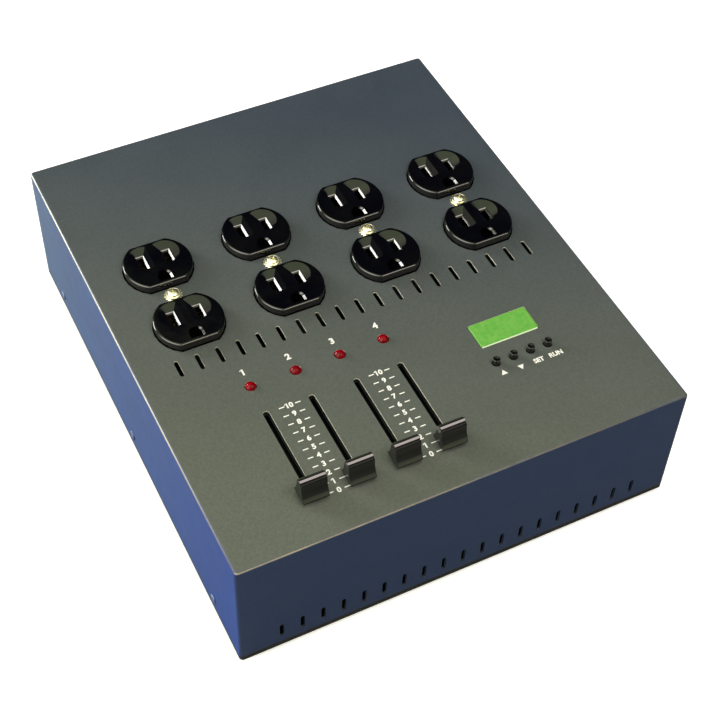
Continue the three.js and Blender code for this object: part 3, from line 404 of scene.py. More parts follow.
def stackLoops(bm, loops):
    rings = [loopEdges(bm, verts) for verts in loops]
    for lower, upper in zip(rings, rings[1:]):
        bmesh.ops.bridge_loops(bm, edges=lower + upper)


def addCap(bm, verts, margin=0.0):
    cap = bmesh.ops.edgeloop_fill(bm, edges=loopEdges(bm, verts))["faces"][0]
    if margin:
        bmesh.ops.inset_individual(bm, faces=[cap], thickness=margin)
    return cap


def roundedRim(reach, top, edge, steps, drop=None):
    # the outline of a rounded rim, from its foot to its top
    turns = [step / steps * math.pi / 2 for step in range(steps + 1)]
    return [(reach - edge * (1 - math.cos(turn)), top - (drop or edge) * (1 - math.sin(turn))) for turn in turns]


def threadProfile(first, second, start, pitch, turns):
    # an outline that swings between two radii once each pitch
    return [(radius, start + (turn + share) * pitch)
            for turn in range(turns) for radius, share in ((first, 0), (second, 0.5))]


def addPlate(bm, width, depth, corner, bottom, top, edge, steps):
    # a plate with round corners and a rounded top rim
    loops = [roundedLoop(bm, width + 2 * grow, depth + 2 * grow, corner + grow, z)
             for grow, z in [(0, bottom), *roundedRim(0, top, edge, steps)]]
    stackLoops(bm, loops)
    addCap(bm, loops[0])
    addCap(bm, loops[-1], capMargin)


def addBox(bm, size, centre):
    place = at(*centre) @ Matrix.Diagonal((*size, 1))
    return bmesh.ops.create_cube(bm, size=1, matrix=place)["verts"]


def addRod(bm, radius, bottom, top, segments=32, centre=(0, 0)):
    place = at(*centre, (bottom + top) / 2)
    bmesh.ops.create_cone(
        bm, cap_ends=True, segments=segments, radius1=radius, radius2=radius, depth=top - bottom, matrix=place,
    )


def addTurned(bm, profile, steps):
    verts = [bm.verts.new((radius, 0, z)) for radius, z in profile]
    edges = [bm.edges.new(pair) for pair in zip(verts, verts[1:])]
    bmesh.ops.spin(bm, geom=verts + edges, axis=(0, 0, 1), angle=2 * math.pi, steps=steps, use_merge=True)
    bmesh.ops.remove_doubles(bm, verts=bm.verts, dist=0.0005)


def newSolid(draw, *sizes, **settings):
    # a mesh of its own for one shape
    bm = bmesh.new()
    draw(bm, *sizes, **settings)
    return bm


def shifted(bm, x, y, z=0.0):
    bmesh.ops.translate(bm, vec=(x, y, z), verts=bm.verts)
    return bm


def grownVerts(grown):
    return [item for item in grown["geom"] if isinstance(item, bmesh.types.BMVert)]


def drawOut(bm, faces, move):
    grown = bmesh.ops.extrude_face_region(bm, geom=faces)
    bmesh.ops.translate(bm, vec=move, verts=grownVerts(grown))


def bevelSharp(bm, width, segments=2):
    edges = [edge for edge in bm.edges if len(edge.link_faces) == 2 and edge.calc_face_angle(0) > math.radians(30)]
    bmesh.ops.bevel(
        bm, geom=edges, offset=width, segments=segments, profile=0.5, affect="EDGES", material=-1, clamp_overlap=True,
    )
    return bm


def newMesh(name, bm):
    mesh = bpy.data.meshes.new(name)
    bm.to_mesh(mesh)
    bm.free()
    return mesh


def gather(parts):
    # one mesh that holds them all, each still a solid of its own
    whole = bmesh.new()
    for part in parts:
        mesh = newMesh("part", part)
        whole.from_mesh(mesh)
        bpy.data.meshes.remove(mesh)
    return whole


def looseObject(bm):
    bmesh.ops.recalc_face_normals(bm, faces=bm.faces)
    return newObject("loose", newMesh("loose", bm))


def combine(bm, tools, operation="DIFFERENCE"):
    # takes each tool away from the solid, or joins it on
    body = looseObject(bm)
    holders = [looseObject(tool) for tool in tools]
    for holder in holders:
        modifier = body.modifiers.new("combine", "BOOLEAN")
        modifier.operation = operation
        modifier.solver = "EXACT"
        modifier.object = holder
    ready = body.evaluated_get(bpy.context.evaluated_depsgraph_get())
    result = bmesh.new()
    result.from_mesh(ready.to_mesh())
    for holder in [body, *holders]:
        mesh = holder.data
        bpy.data.objects.remove(holder)
        bpy.data.meshes.remove(mesh)
    return result


def addPiece(name, bm, finish, place, node=None, body="case", sharp=32):
    # the last step of every piece: into metres and its place, shaded, on its body
    solid = bm.copy()
    bmesh.ops.transform(solid, matrix=Matrix.Scale(mm, 4) @ place, verts=solid.verts)
    bmesh.ops.recalc_face_normals(solid, faces=solid.faces)
    mesh = newMesh(name, solid)
    mesh.shade_smooth()
    mesh.set_sharp_from_angle(angle=math.radians(sharp))
    mesh.materials.append(materials[finish])
    piece = newObject(name, mesh)
    piece.modifiers.new("weighted", "WEIGHTED_NORMAL").keep_sharp = True
    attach(piece, body)
    if node:
        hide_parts(node)


def onPanel(x, y, z=0.0):
    return at(x, y + packShift, panelTop + z)


def onRear(x):
    # local z points out of the rear wall, and local y points down
    return at(x, rearFace + packShift, rearRow) @ Matrix.Rotation(-math.pi / 2, 4, "X")


# CAD nodes that stay, with their finishes
dressed = {
    "casePaint": ["case_cover"],
    "baseBlack": ["base_plate"],
    "zincSheet": [f"receptacle_strap_{n}" for n in channels],
    "darkSteel": [f"fader_frame_{n}" for n in channels],
    "satinBlack": ["display_holder"] + [f"{kind}_{n}" for kind in ("fader_lever", "triac") for n in channels],
    "boardGreen": ["control_board", "power_board"],
    "drawnAluminium": ["heat_sink"],
    "coreLaminations": ["transformer"],
}
for finish, names in dressed.items():
    for name in names:
        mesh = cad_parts[name].data
        mesh.materials.clear()
        mesh.materials.append(materials[finish])
print("CAD nodes dressed")


# Duplex outlets
outlet = {
    "rowY": 22.3, "pitch": 50.5, "facePitch": 38.9,
    "radius": 16.5, "flats": 27.8, "rise": 4.0, "edge": 0.8,
    "body": (33.0, 69.1, 22.0), "corner": 1.5, "shoulder": -1.5, "shoulderEdge": 0.8,
    "bladeGap": 12.7, "bladeShift": 3.5, "groundShift": -8.4,
    "slots": (7.4, 6.2), "slotWidth": 2.3, "slotFloor": -10.0,
    "mouth": ((0.9, 0.85, 1.2), (0.58, 0.45, 1.47), (0, 0, 2.05)),    # each side and rear margin, and its depth
    "groundRadius": 2.6, "groundMargin": 0.9, "groundSquash": 0.9,
    "funnelRadius": 7.4, "funnelInward": 1.15, "funnelBackward": 1.8, "funnelInset": 1.9,
    "screwHole": 1.9, "screwFloor": -13.0,
    "contact": (0.45, 6.0), "contactInset": 0.35, "contactZ": -6.5,
}


def sinkLoop(bm, verts, move):
    # draws a loop of edges out to new places and gives the new loop
    fresh = grownVerts(bmesh.ops.extrude_edge_only(bm, edges=loopEdges(bm, verts)))
    for vert in fresh:
        vert.co = move(vert.co)
    return fresh


def sinkStraight(bm, verts, z):
    return sinkLoop(bm, verts, lambda spot: Vector((spot.x, spot.y, z)))


def fillFlat(bm, loops):
    # the flat face inside the first loop, with the others as holes
    edges = [edge for verts in loops for edge in loopEdges(bm, verts)]
    bmesh.ops.triangle_fill(bm, use_beauty=True, edges=edges, normal=(0, 0, 1))


def sinkFunnel(bm, side, length, bladeY):
    # the hollow that leads a blade in: round outside, straight inside, then a steeper mouth and the slot
    size = outlet
    slotX = side * size["bladeGap"] / 2
    top = size["rise"]
    place = at(slotX - side * size["funnelInward"], bladeY + size["funnelBackward"], top)
    rim = bmesh.ops.create_circle(bm, radius=size["funnelRadius"], segments=96, matrix=place)["verts"]
    for vert in rim:
        vert.co.x = side * max(size["funnelInset"], side * vert.co.x)
    loop = rim
    for margin, rearMargin, depth in (*size["mouth"], (0, 0, top - size["slotFloor"])):
        reach = size["slotWidth"] / 2 + margin
        front, rear = bladeY - length / 2 - margin, bladeY + length / 2 + rearMargin
        loop = sinkLoop(bm, loop, lambda spot: Vector((
            max(slotX - reach, min(slotX + reach, spot.x)), max(front, min(rear, spot.y)), top - depth,
        )))
    return rim


def sinkGroundHole(bm, y):
    # round at the back and square at the front, wider at the mouth
    size = outlet
    top, wide = size["rise"], size["groundRadius"] + size["groundMargin"]
    rim = circleLoop(bm, wide, top)
    for vert in rim:
        if vert.co.y < 0:
            vert.co.x = math.copysign(wide, vert.co.x)
        if vert.co.y < -wide * 0.1:
            vert.co.y = -wide
    share = size["groundRadius"] / wide
    throat = sinkLoop(bm, rim, lambda spot: Vector((spot.x * share, spot.y * share, top - size["groundMargin"])))
    for vert in rim:
        vert.co.y = (vert.co.y + wide) * size["groundSquash"] - wide
    floor = sinkStraight(bm, throat, size["slotFloor"])
    bmesh.ops.translate(bm, vec=(0, y, 0), verts=[*rim, *throat, *floor])
    return rim


def makeOutlet():
    size = outlet
    shoulder, edge = size["shoulder"], size["shoulderEdge"]
    width, depth, height = size["body"]
    bm = bmesh.new()
    block = [
        roundedLoop(bm, width - 2 * inset, depth - 2 * inset, size["corner"], z)
        for inset, z in ((0, shoulder - height), (0, shoulder - edge), (edge, shoulder))
    ]
    stackLoops(bm, block)
    screwHole = circleLoop(bm, size["screwHole"], shoulder, 32)
    sinkStraight(bm, screwHole, size["screwFloor"])
    feet = []
    for side in (1, -1):
        middle = side * size["facePitch"] / 2
        wall = [
            clippedLoop(bm, size["radius"] + grow, size["flats"] + 2 * grow, z)
            for grow, z in [(0, shoulder), *roundedRim(0, size["rise"], size["edge"], 12)]
        ]
        stackLoops(bm, wall)
        bmesh.ops.translate(bm, vec=(0, middle, 0), verts=[vert for loop in wall for vert in loop])
        cap = addCap(bm, wall[-1], capMargin)
        outline = list(cap.verts)
        bmesh.ops.delete(bm, geom=[cap], context="FACES_ONLY")
        hollows = [sinkFunnel(bm, turned, length, middle + size["bladeShift"])
                   for turned, length in zip((-1, 1), size["slots"])]
        fillFlat(bm, [outline, *hollows, sinkGroundHole(bm, middle + size["groundShift"])])
        feet.append(wall[0])
    fillFlat(bm, [block[-1], screwHole, *feet])
    bmesh.ops.remove_doubles(bm, verts=bm.verts, dist=0.0005)
    bmesh.ops.holes_fill(bm, edges=bm.edges)
    return bm


def makeContacts():
    # brass leaves a little way down each slot
    size = outlet
    thickness, height = size["contact"]
    bm = bmesh.new()
    for side in (1, -1):
        bladeY = side * size["facePitch"] / 2 + size["bladeShift"]
        for turned, length in zip((-1, 1), size["slots"]):
            for cheek in (-1, 1):
                x = turned * size["bladeGap"] / 2 + cheek * (size["slotWidth"] / 2 - size["contactInset"])
                addBox(bm, (thickness, length - 1, height), (x, bladeY, size["contactZ"]))
    return bevelSharp(bm, 0.12)


outletMesh = makeOutlet()
contactMesh = makeContacts()
outletSpots = {n: onPanel((n - 2.5) * outlet["pitch"], outlet["rowY"]) for n in channels}
for n, spot in outletSpots.items():
    addPiece(f"outlet_{n}", outletMesh, "outletBlack", spot, f"receptacle_{n}", sharp=9)
    addPiece(f"outlet_contacts_{n}", contactMesh, "brassContact", spot)
print("outlets made")


# Screws
centreScrew = {
    "head": 3.75, "height": 2.2, "shank": 1.6, "length": 11.0, "cross": 0.75, "crossReach": 1.7, "crossDepth": 1.4,
    "washer": 4.4, "washerSheet": 0.6, "teeth": 16, "tooth": 0.5, "bore": 2.0, "lift": 0.1,
    "brim": ((1.0, 0.28), (0.95, 0.42), (0.86, 0.46), (0.78, 0.30), (0.72, 0.30)),    # shares of head and height
}
caseScrew = {
    "head": 2.4, "height": 0.7, "shank": 1.4, "length": 7.0, "cross": 0.5, "crossReach": 1.3, "crossDepth": 0.45,
    "pitch": 100.5, "lift": 11.4, "seat": 110.1,
}
flangeScrew = {
    "head": 2.7, "height": 1.1, "shank": 1.4, "length": 5.0, "cross": 0.5, "crossReach": 1.4, "crossDepth": 0.7,
}
screwCut = {"taper": (0.35, 0.7, 1), "turn": 0.5}    # the cross narrows downwards and stands askew


def makeScrew(size, collar=0.0):
    # pan head with a cross recess, and a threaded shank
    head, height, shank, length = (size[key] for key in ("head", "height", "shank", "length"))
    pitch = shank * 0.5
    profile = [(0, -length), (shank * 0.4, -length)]
    profile += threadProfile(shank * 0.8, shank, 0.6 * pitch - length, pitch, int(length / pitch) - 1)
    profile += [(shank * 0.8, collar), (head * 0.94, collar), (head, collar + 0.12 * height)]
    profile += [(head * reach, collar + height * rise) for reach, rise in size.get("brim", ())]
    crown = profile[-1][0]
    for step in range(9):
        angle = step / 8 * math.pi / 2
        profile.append((crown * math.cos(angle) ** 0.55, collar + height * (0.35 + 0.65 * math.sin(angle) ** 0.9)))
    top, deep = collar + height, size["crossDepth"]
    cross = []
    for turn in (0, math.pi / 2):
        blade = bmesh.new()
        verts = addBox(blade, (2 * size["crossReach"], size["cross"], deep + 1), (0, 0, top + 0.5 - deep / 2))
        bmesh.ops.scale(blade, vec=screwCut["taper"], verts=[vert for vert in verts if vert.co.z < top])
        askew = Matrix.Rotation(turn + screwCut["turn"], 3, "Z")
        bmesh.ops.rotate(blade, verts=blade.verts, matrix=askew)
        cross.append(blade)
    return combine(newSolid(addTurned, profile, 48), cross)


def makeToothedWasher(size):
    # a ring: up the toothed outside and down the bore
    bm = bmesh.new()
    outer, sheet, steps = size["washer"], size["washerSheet"], size["teeth"] * 4
    loops = [circleLoop(bm, outer, z, steps) for z in (0, sheet)]
    for verts in loops:
        for index, vert in enumerate(verts):
            if index % 4 in (0, 1):
                vert.co.xy *= 1 - size["tooth"] / outer
    loops += [circleLoop(bm, size["bore"], z, steps) for z in (sheet, 0)]
    stackLoops(bm, [*loops, loops[0]])
    return bevelSharp(bm, 0.08, 1)


centreScrewMesh = makeScrew(centreScrew, centreScrew["washerSheet"])
washerMesh = makeToothedWasher(centreScrew)
caseScrewMesh = makeScrew(caseScrew)
for n, outletSpot in outletSpots.items():
    spot = outletSpot @ at(0, 0, centreScrew["lift"])
    turn = Matrix.Rotation(0.9 * n, 4, "Z")
    addPiece(f"outlet_screw_{n}", centreScrewMesh, "nickelPlate", spot @ turn, f"receptacle_screw_{n}")
    addPiece(f"outlet_washer_{n}", washerMesh, "nickelPlate", spot)
for side, sign in (("left", -1), ("right", 1)):
    for step, where in enumerate(("front", "middle", "rear")):
        y = (step - 1) * caseScrew["pitch"] + packShift
        spot = at(sign * caseScrew["seat"], y, caseScrew["lift"])
        turn = Matrix.Rotation(sign * math.pi / 2, 4, "Y") @ Matrix.Rotation(1.3 * step, 4, "Z")
        node = f"case_screw_{side}_{where}"
        addPiece(f"{side}_{where}_screw", caseScrewMesh, "bluedScrew", spot @ turn, node)
print("screws made")


# Channel lamps
lamp = {"y": -42.7, "radius": 2.6, "flange": 3.0, "flangeHeight": 1.0, "height": 8.6, "rise": 1.9,
        "lead": 0.5, "leadPitch": 2.54, "leadLength": 3.0}


def makeLamp():
    size = lamp
    radius, bottom = size["radius"], size["rise"] - size["height"]
    ledge = bottom + size["flangeHeight"]
    profile = [(0, bottom), (size["flange"], bottom), (size["flange"], ledge), (radius, ledge)]
    return newSolid(addTurned, profile + roundedRim(radius, size["rise"], radius, 12), 48)


def makeLampLeads():
    size = lamp
    z = size["rise"] - size["height"] - size["leadLength"] / 2
    bm = bmesh.new()
    for side in (-1, 1):
        addBox(bm, (size["lead"], size["lead"], size["leadLength"]), (side * size["leadPitch"] / 2, 0, z))
    return bevelSharp(bm, 0.05, 1)


lampMesh = makeLamp()
lampLeadMesh = makeLampLeads()
for n in channels:
    spot = onPanel(columns[n], lamp["y"])
    addPiece(f"lamp_lens_{n}", lampMesh, "redLens", spot, f"channel_led_{n}")
    addPiece(f"lamp_leads_{n}", lampLeadMesh, "zincSheet", spot)
print("lamps made")


# Fader knobs
knob = {"restY": -107.1, "width": 12.2, "length": 9.6, "lift": 1.5, "height": 11.5, "lip": 1.2,
        "shoulder": 4.4, "ridge": 2.2, "ridgeRise": 1.6, "curve": 1.1, "crest": (0.47, 0.09), "endEdge": 0.22,
        "tongue": (1.8, 4.6, 8.3), "hollow": (9.8, 7.2, 2.5), "boss": (3.0, 6.4, 3.0)}


def makeKnob():
    # one side profile, with hollow flanks up to a narrow ridge, drawn out across the knob
    size = knob
    half, shoulder, ridge = size["length"] / 2, size["shoulder"] / 2, size["ridge"] / 2
    lip, shoulderZ = size["lip"], size["height"] - size["ridgeRise"]
    side = [(half - 0.25, 0), (half, 0.25)]
    for step in range(13):
        share = step / 12
        inward = size["curve"] * math.sin(math.pi * share) * (1 - 0.6 * share)
        side.append((half + (shoulder - half) * share - inward, lip + (shoulderZ - lip) * share))
    side += [(ridge + 0.15, shoulderZ - 0.05), (ridge, shoulderZ + 0.2)]
    slope, bow = size["crest"]
    for step in range(9):
        y = (ridge - 0.08) * (1 - step / 8.5)
        side.append((y, size["height"] - slope * y - bow * y ** 2))
    bm = bmesh.new()
    outline = side + [(-y, z) for y, z in reversed(side)]
    face = bm.faces.new([bm.verts.new((-size["width"] / 2, y, z)) for y, z in outline])
    drawOut(bm, [face], (size["width"], 0, 0))
    ends = [edge for edge in bm.edges if edge.verts[0].co.x == edge.verts[1].co.x]
    bmesh.ops.bevel(bm, geom=ends, offset=size["endEdge"], segments=3, profile=0.5, affect="EDGES", material=-1)
    # hollow from below, with a boss that takes the lever's tongue
    hollow, socket = (newSolid(addBox, (*size[key][:2], 2 * size[key][2]), (0, 0, 0)) for key in ("hollow", "tongue"))
    boss = newSolid(addBox, size["boss"], (0, 0, size["boss"][2] / 2))
    return combine(combine(combine(bm, [hollow]), [boss], "UNION"), [socket])


knobMesh = makeKnob()
for n in channels:
    spot = onPanel(columns[n], knob["restY"], knob["lift"])
    addPiece(f"fader_cap_{n}", knobMesh, "glossBlack", spot, f"fader_knob_{n}", f"fader_{n}")
print("fader knobs made")


# Display and menu buttons
display = {"x": 54.3, "y": -59.8, "width": 30.0, "depth": 14.0, "corner": 1.2, "bottom": -2.4, "top": 0.4, "edge": 0.4}
button = {"y": -77.1, "pitch": 9.0, "radius": 1.75, "rise": 3.0, "bottom": -7.5, "edge": 0.3, "dish": 0.12}


def makeDisplay():
    sizes = (display[key] for key in ("width", "depth", "corner", "bottom", "top", "edge"))
    return newSolid(addPlate, *sizes, steps=3)


def makeButton():
    size = button
    radius, edge, rise = size["radius"], size["edge"], size["rise"]
    profile = [(0, size["bottom"]), (radius, size["bottom"]), *roundedRim(radius, rise, edge, 5)]
    for step in range(1, 6):
        share = step / 5
        profile.append(((radius - edge) * (1 - share), rise - size["dish"] * (1 - (1 - share) ** 2)))
    return newSolid(addTurned, profile, 40)


displaySpot = onPanel(display["x"], display["y"])
addPiece("display_face", makeDisplay(), "displayGreen", displaySpot, "display_window")
buttonMesh = makeButton()
for step, use in enumerate(("up", "down", "function", "mode")):
    spot = onPanel(display["x"] + (step - 1.5) * button["pitch"], button["y"])
    addPiece(f"{use}_key_cap", buttonMesh, "glossBlack", spot, f"button_{use}", f"{use}_key")
print("display and buttons made")


# Rear fittings
dataSocket = {
    "inputX": 34.0, "outputX": 76.0, "width": 26.0, "height": 31.0, "corner": 3.0, "top": 2.3, "edge": 0.5,
    "barrel": 11.8, "barrelDepth": 21.0, "cup": 9.4, "cupDepth": 16.0, "key": (2.6, 2.2),
    "pin": 1.25, "pinLength": 12.0, "insert": 7.6, "hole": 1.5, "contacts": ((0, 4), (-4, 0), (4, 0)),
    "latchY": -12.2, "screws": ((-9.6, -12.0), (9.6, 12.0)), "screwHole": 1.6,
}
latch = {"width": 7.0, "height": 3.0, "bottom": -1.2, "top": 4.7, "edge": 0.5,
         "play": 0.6, "wall": 1.4, "box": (5.3, -3.35), "bay": (6.3, -2.15)}    # height and middle of each
breaker = {"x": -42.0, "body": (15.0, 30.0, 30.0), "bodyTop": -1.5, "neck": 5.2, "neckRise": 6.0,
           "thread": (0.4, 0.8, 7), "threadDepth": 0.35,    # its start, pitch and turns
           "nut": 8.2, "nutHeight": 2.4, "bore": 3.7, "boreDepth": 9.0,
           "button": 3.4, "buttonBottom": 1.3, "buttonTop": 9.0, "buttonEdge": 0.7}
gland = {"x": -78.0, "sleeve": 10.0, "sleeveDepth": 8.0, "hex": 13.5, "hexHeight": 5.0, "dome": 11.5,
         "domeHeight": 12.0, "bore": 5.0, "nut": 13.0, "nutHeight": 3.5, "nutTop": -1.5, "wall": 1.2,
         "ribs": 12, "rib": 1.5, "ribOut": 0.9}


def makeSocketBlank():
    # the flange plate, with the barrel behind it
    size = dataSocket
    sizes = (size[key] for key in ("width", "height", "corner"))
    plate = newSolid(addPlate, *sizes, rearSeat, size["top"], size["edge"], steps=4)
    barrel = newSolid(addRod, size["barrel"], -size["barrelDepth"], size["top"] - 1, 64)
    return combine(plate, [barrel], "UNION")


def drillScrewHoles():
    size = dataSocket
    return [newSolid(addRod, size["screwHole"], -1, size["top"] + 1, centre=spot) for spot in size["screws"]]


def makeInputSocket():
    size = dataSocket
    top, radius, depth = size["top"], size["cup"], size["cupDepth"]
    floor, mouth = top - depth, radius + 0.8
    cup = newSolid(addTurned, [
        (0, floor), (radius, floor), (radius, top - 0.6), (mouth, top + 0.2), (mouth, top + 1), (0, top + 1)], 96)
    key = newSolid(addBox, (*size["key"], depth), (0, radius, top - depth / 2 + 1))
    return combine(makeSocketBlank(), [cup, key, *drillScrewHoles()])


def makeInputPins():
    size = dataSocket
    radius, bottom = size["pin"], size["top"] - size["cupDepth"]
    tip = bottom + size["pinLength"]
    profile = [
        (0, bottom - 0.1), (radius, bottom - 0.1), (radius, tip - 0.8), (radius * 0.7, tip - 0.15), (0, tip)]
    return gather([shifted(newSolid(addTurned, profile, 24), x, y) for x, y in size["contacts"]])


def makeOutputSocket():
    size = dataSocket
    top, cup, insert, hole = (size[key] for key in ("top", "cup", "insert", "hole"))
    floor, holeFloor = top - size["cupDepth"], top - size["pinLength"]
    width, height = latch["width"] + latch["play"], latch["height"] + latch["play"]
    (boxTall, boxZ), (bayTall, bayZ), wall = latch["box"], latch["bay"], latch["wall"]
    box = newSolid(addBox, (width + wall, height + wall, boxTall), (0, size["latchY"], top + boxZ))
    bay = newSolid(addBox, (width, height, bayTall), (0, size["latchY"], top + bayZ))
    groove = newSolid(addTurned, [
        (insert, floor), (cup, floor), (cup, top - 0.5), (cup + 0.5, top + 1),
        (insert - 0.4, top + 1), (insert, top - 0.4), (insert, floor)], 96)
    drill = [
        (0, holeFloor), (hole, holeFloor), (hole, top - 0.5), (hole + 0.6, top + 0.1), (hole + 0.6, top + 1),
        (0, top + 1)]
    holes = [shifted(newSolid(addTurned, drill, 32), x, y) for x, y in size["contacts"]]
    return combine(combine(makeSocketBlank(), [box], "UNION"), [groove, *holes, bay, *drillScrewHoles()])


def makeLatch():
    bottom, top = latch["bottom"], latch["top"]
    bm = newSolid(addBox, (latch["width"], latch["height"], top - bottom), (0, 0, (bottom + top) / 2))
    return bevelSharp(bm, latch["edge"], 4)


def makeFlangeScrews():
    return gather([shifted(makeScrew(flangeScrew), x, y, dataSocket["top"]) for x, y in dataSocket["screws"]])


def makeBreakerBody():
    size = breaker
    neck, rise, top = size["neck"], size["neckRise"], size["bodyTop"]
    bm = bevelSharp(newSolid(addBox, size["body"], (0, 0, top - size["body"][2] / 2)), 0.8, 3)
    profile = [(0, top - 1), (neck, top - 1)]
    profile += threadProfile(neck, neck - size["threadDepth"], *size["thread"])
    profile += [(neck - 0.2, rise - 0.4), (neck - 0.7, rise), (0, rise)]
    bore = newSolid(addRod, size["bore"], rise - size["boreDepth"], rise + 1, 56)
    return combine(combine(bm, [newSolid(addTurned, profile, 56)], "UNION"), [bore])


def makeHexNut(radius, bottom, top, bore):
    # six flats, with the corners turned off at both faces
    bm = bevelSharp(newSolid(addRod, radius, bottom, top, 6), 0.25)
    return combine(bm, [newSolid(addRod, bore, bottom - 1, top + 1, 48)])


def makeBreakerButton():
    size = breaker
    radius, bottom, top = size["button"], size["buttonBottom"], size["buttonTop"]
    rim = roundedRim(radius, top, size["buttonEdge"], 6)
    return newSolid(addTurned, [(0, bottom), (radius, bottom), *rim, (0, top)], 48)


def makeGland():
    size = gland
    sleeve, dome, bore, depth = (size[key] for key in ("sleeve", "dome", "bore", "sleeveDepth"))
    hexTop = rearSeat + size["hexHeight"]
    top = hexTop + size["domeHeight"]
    bm = bevelSharp(newSolid(addRod, size["hex"], rearSeat, hexTop, 6), 0.5, 3)
    thread = [(0, -depth), *threadProfile(sleeve - 0.5, sleeve, -depth, 1.0, 9), (sleeve, 0.35), (0, 0.35)]
    rim = roundedRim(dome, top, dome - bore - size["wall"], 12, size["domeHeight"] / 2)
    cap = [(0, hexTop - 0.1), (dome, hexTop - 0.1), *rim, (0, top)]
    bm = combine(bm, [newSolid(addTurned, thread, 64), newSolid(addTurned, cap, 96)], "UNION")
    flutes = []
    for step in range(size["ribs"]):
        turn, reach = step / size["ribs"] * 2 * math.pi, dome + size["ribOut"]
        spot = (reach * math.cos(turn), reach * math.sin(turn))
        flutes.append(newSolid(addRod, size["rib"], hexTop + 0.8, hexTop + 9, 20, spot))
    return combine(bm, [*flutes, newSolid(addRod, bore, -depth - 1, top + 1, 64)])


def makeGlandSeal():
    # the rubber ring that grips the cord, just inside the mouth
    bore, high = gland["bore"], rearSeat + gland["hexHeight"] + gland["domeHeight"]
    ring = ((0.02, 5), (0.02, 0.6), (0.5, 0.9), (1.1, 2.6), (0.5, 4.8), (0.02, 5))    # inwards and downwards
    return newSolid(addTurned, [(bore - inward, high - down) for inward, down in ring], 64)


inputSpot, outputSpot, breakerSpot, glandSpot = (
    onRear(x) for x in (dataSocket["inputX"], dataSocket["outputX"], breaker["x"], gland["x"]))
addPiece("input_socket", makeInputSocket(), "satinBlack", inputSpot, "data_input_socket")
addPiece("input_pins", makeInputPins(), "nickelPlate", inputSpot)
addPiece("output_socket", makeOutputSocket(), "satinBlack", outputSpot, "data_output_socket")
latchSpot = outputSpot @ at(0, dataSocket["latchY"])
addPiece("output_latch_tab", makeLatch(), "nickelPlate", latchSpot, "data_output_latch", "output_latch")
flangeScrewMesh = makeFlangeScrews()
addPiece("input_flange_screws", flangeScrewMesh, "zincSheet", inputSpot)
addPiece("output_flange_screws", flangeScrewMesh, "zincSheet", outputSpot)
addPiece("breaker_case", makeBreakerBody(), "satinBlack", breakerSpot, "breaker_body")
breakerNut = makeHexNut(breaker["nut"], rearSeat, rearSeat + breaker["nutHeight"], breaker["neck"] - 0.2)
addPiece("breaker_nut", breakerNut, "nickelPlate", breakerSpot)
addPiece("breaker_cap", makeBreakerButton(), "redCap", breakerSpot, "breaker_button", "breaker_reset")
addPiece("gland_body", makeGland(), "satinBlack", glandSpot, "cord_gland")
glandNut = makeHexNut(gland["nut"], gland["nutTop"] - gland["nutHeight"], gland["nutTop"], gland["sleeve"] - 0.4)
addPiece("gland_locknut", glandNut, "satinBlack", glandSpot)
addPiece("gland_seal", makeGlandSeal(), "softRubber", glandSpot)
print("rear fittings made")


# Feet
foot = {
    "x": 88.0, "y": 108.0,
    "recess": [(0, 1.2), (2.6, 1.2), (3.0, 0.3), (3.3, 0)],       # each outline: radius and height
    "side": [(6.1, 0), (6.5, 0.3), (7.4, 2.5), (7.2, 2.9)],
    "stem": [(2.4, 2.9), (2.4, 4.3), (3.6, 4.3), (3.4, 5.0), (1.2, 6.5), (0, 6.5)],
}
footMesh = newSolid(addTurned, foot["recess"] + foot["side"] + foot["stem"], 56)
for where, ySign in (("front", -1), ("rear", 1)):
    for side, xSign in (("left", -1), ("right", 1)):
        spot = at(xSign * foot["x"], ySign * foot["y"] + packShift)
        addPiece(f"{where}_{side}_foot", footMesh, "softRubber", spot, f"foot_{where}_{side}")
print("feet made")


# Printed legends, as a thin layer of ink on the panel
legend = {
    "ink": 0.03, "gap": 0.005, "bold": 0.04, "scaleX": (-53.7, -9.7), "zeroY": -109.7, "step": 5.0, "digit": 2.9,
    "tickLength": 2.6, "tickWidth": 0.55, "tickX": 3.9, "channelY": -34.0, "channelDigit": 3.6,
    "keyY": -83.7, "arrow": 3.1, "arrows": ((41.3, 0), (50.1, math.pi)),
    "keys": (("SET", 59.4), ("RUN", 68.3)), "keyDigit": 2.6,
    "flag": (1.2, 0.42, 0.45), "flagTurn": math.radians(38),
}


def makeText(text, x, y, height):
    curve = bpy.data.curves.new("letters", "FONT")
    curve.body = text
    curve.offset = legend["bold"]
    curve.resolution_u = 6
    holder = newObject("letters", curve)
    flat = bmesh.new()
    flat.from_mesh(holder.evaluated_get(bpy.context.evaluated_depsgraph_get()).to_mesh())
    bpy.data.objects.remove(holder)
    low, high = (Vector([pick(vert.co[axis] for vert in flat.verts) for axis in (0, 1)]) for pick in (min, max))
    size = height / (high.y - low.y)
    middle = (low + high) / 2
    place = at(x, y) @ Matrix.Scale(size, 4) @ at(*-middle)
    bmesh.ops.transform(flat, matrix=place, verts=flat.verts)
    if text.startswith("1"):
        return [flat, makeFlag(x - size * (high.x - low.x) / 2, y + height / 2)]
    return [flat]


def makeFlag(x, y):
    # the short stroke that the font's figure one lacks
    length, width, drop = legend["flag"]
    place = at(x - drop / 2, y - drop) @ Matrix.Rotation(legend["flagTurn"], 4, "Z")
    place = place @ Matrix.Diagonal((length, width, 1, 1))
    return newSolid(bmesh.ops.create_grid, x_segments=1, y_segments=1, size=0.5, matrix=place)


def makeArrow(x, y, turn):
    place = at(x, y) @ Matrix.Rotation(turn, 4, "Z")
    radius = legend["arrow"] / math.sqrt(3)
    return newSolid(bmesh.ops.create_circle, cap_ends=True, segments=3, radius=radius, matrix=place)


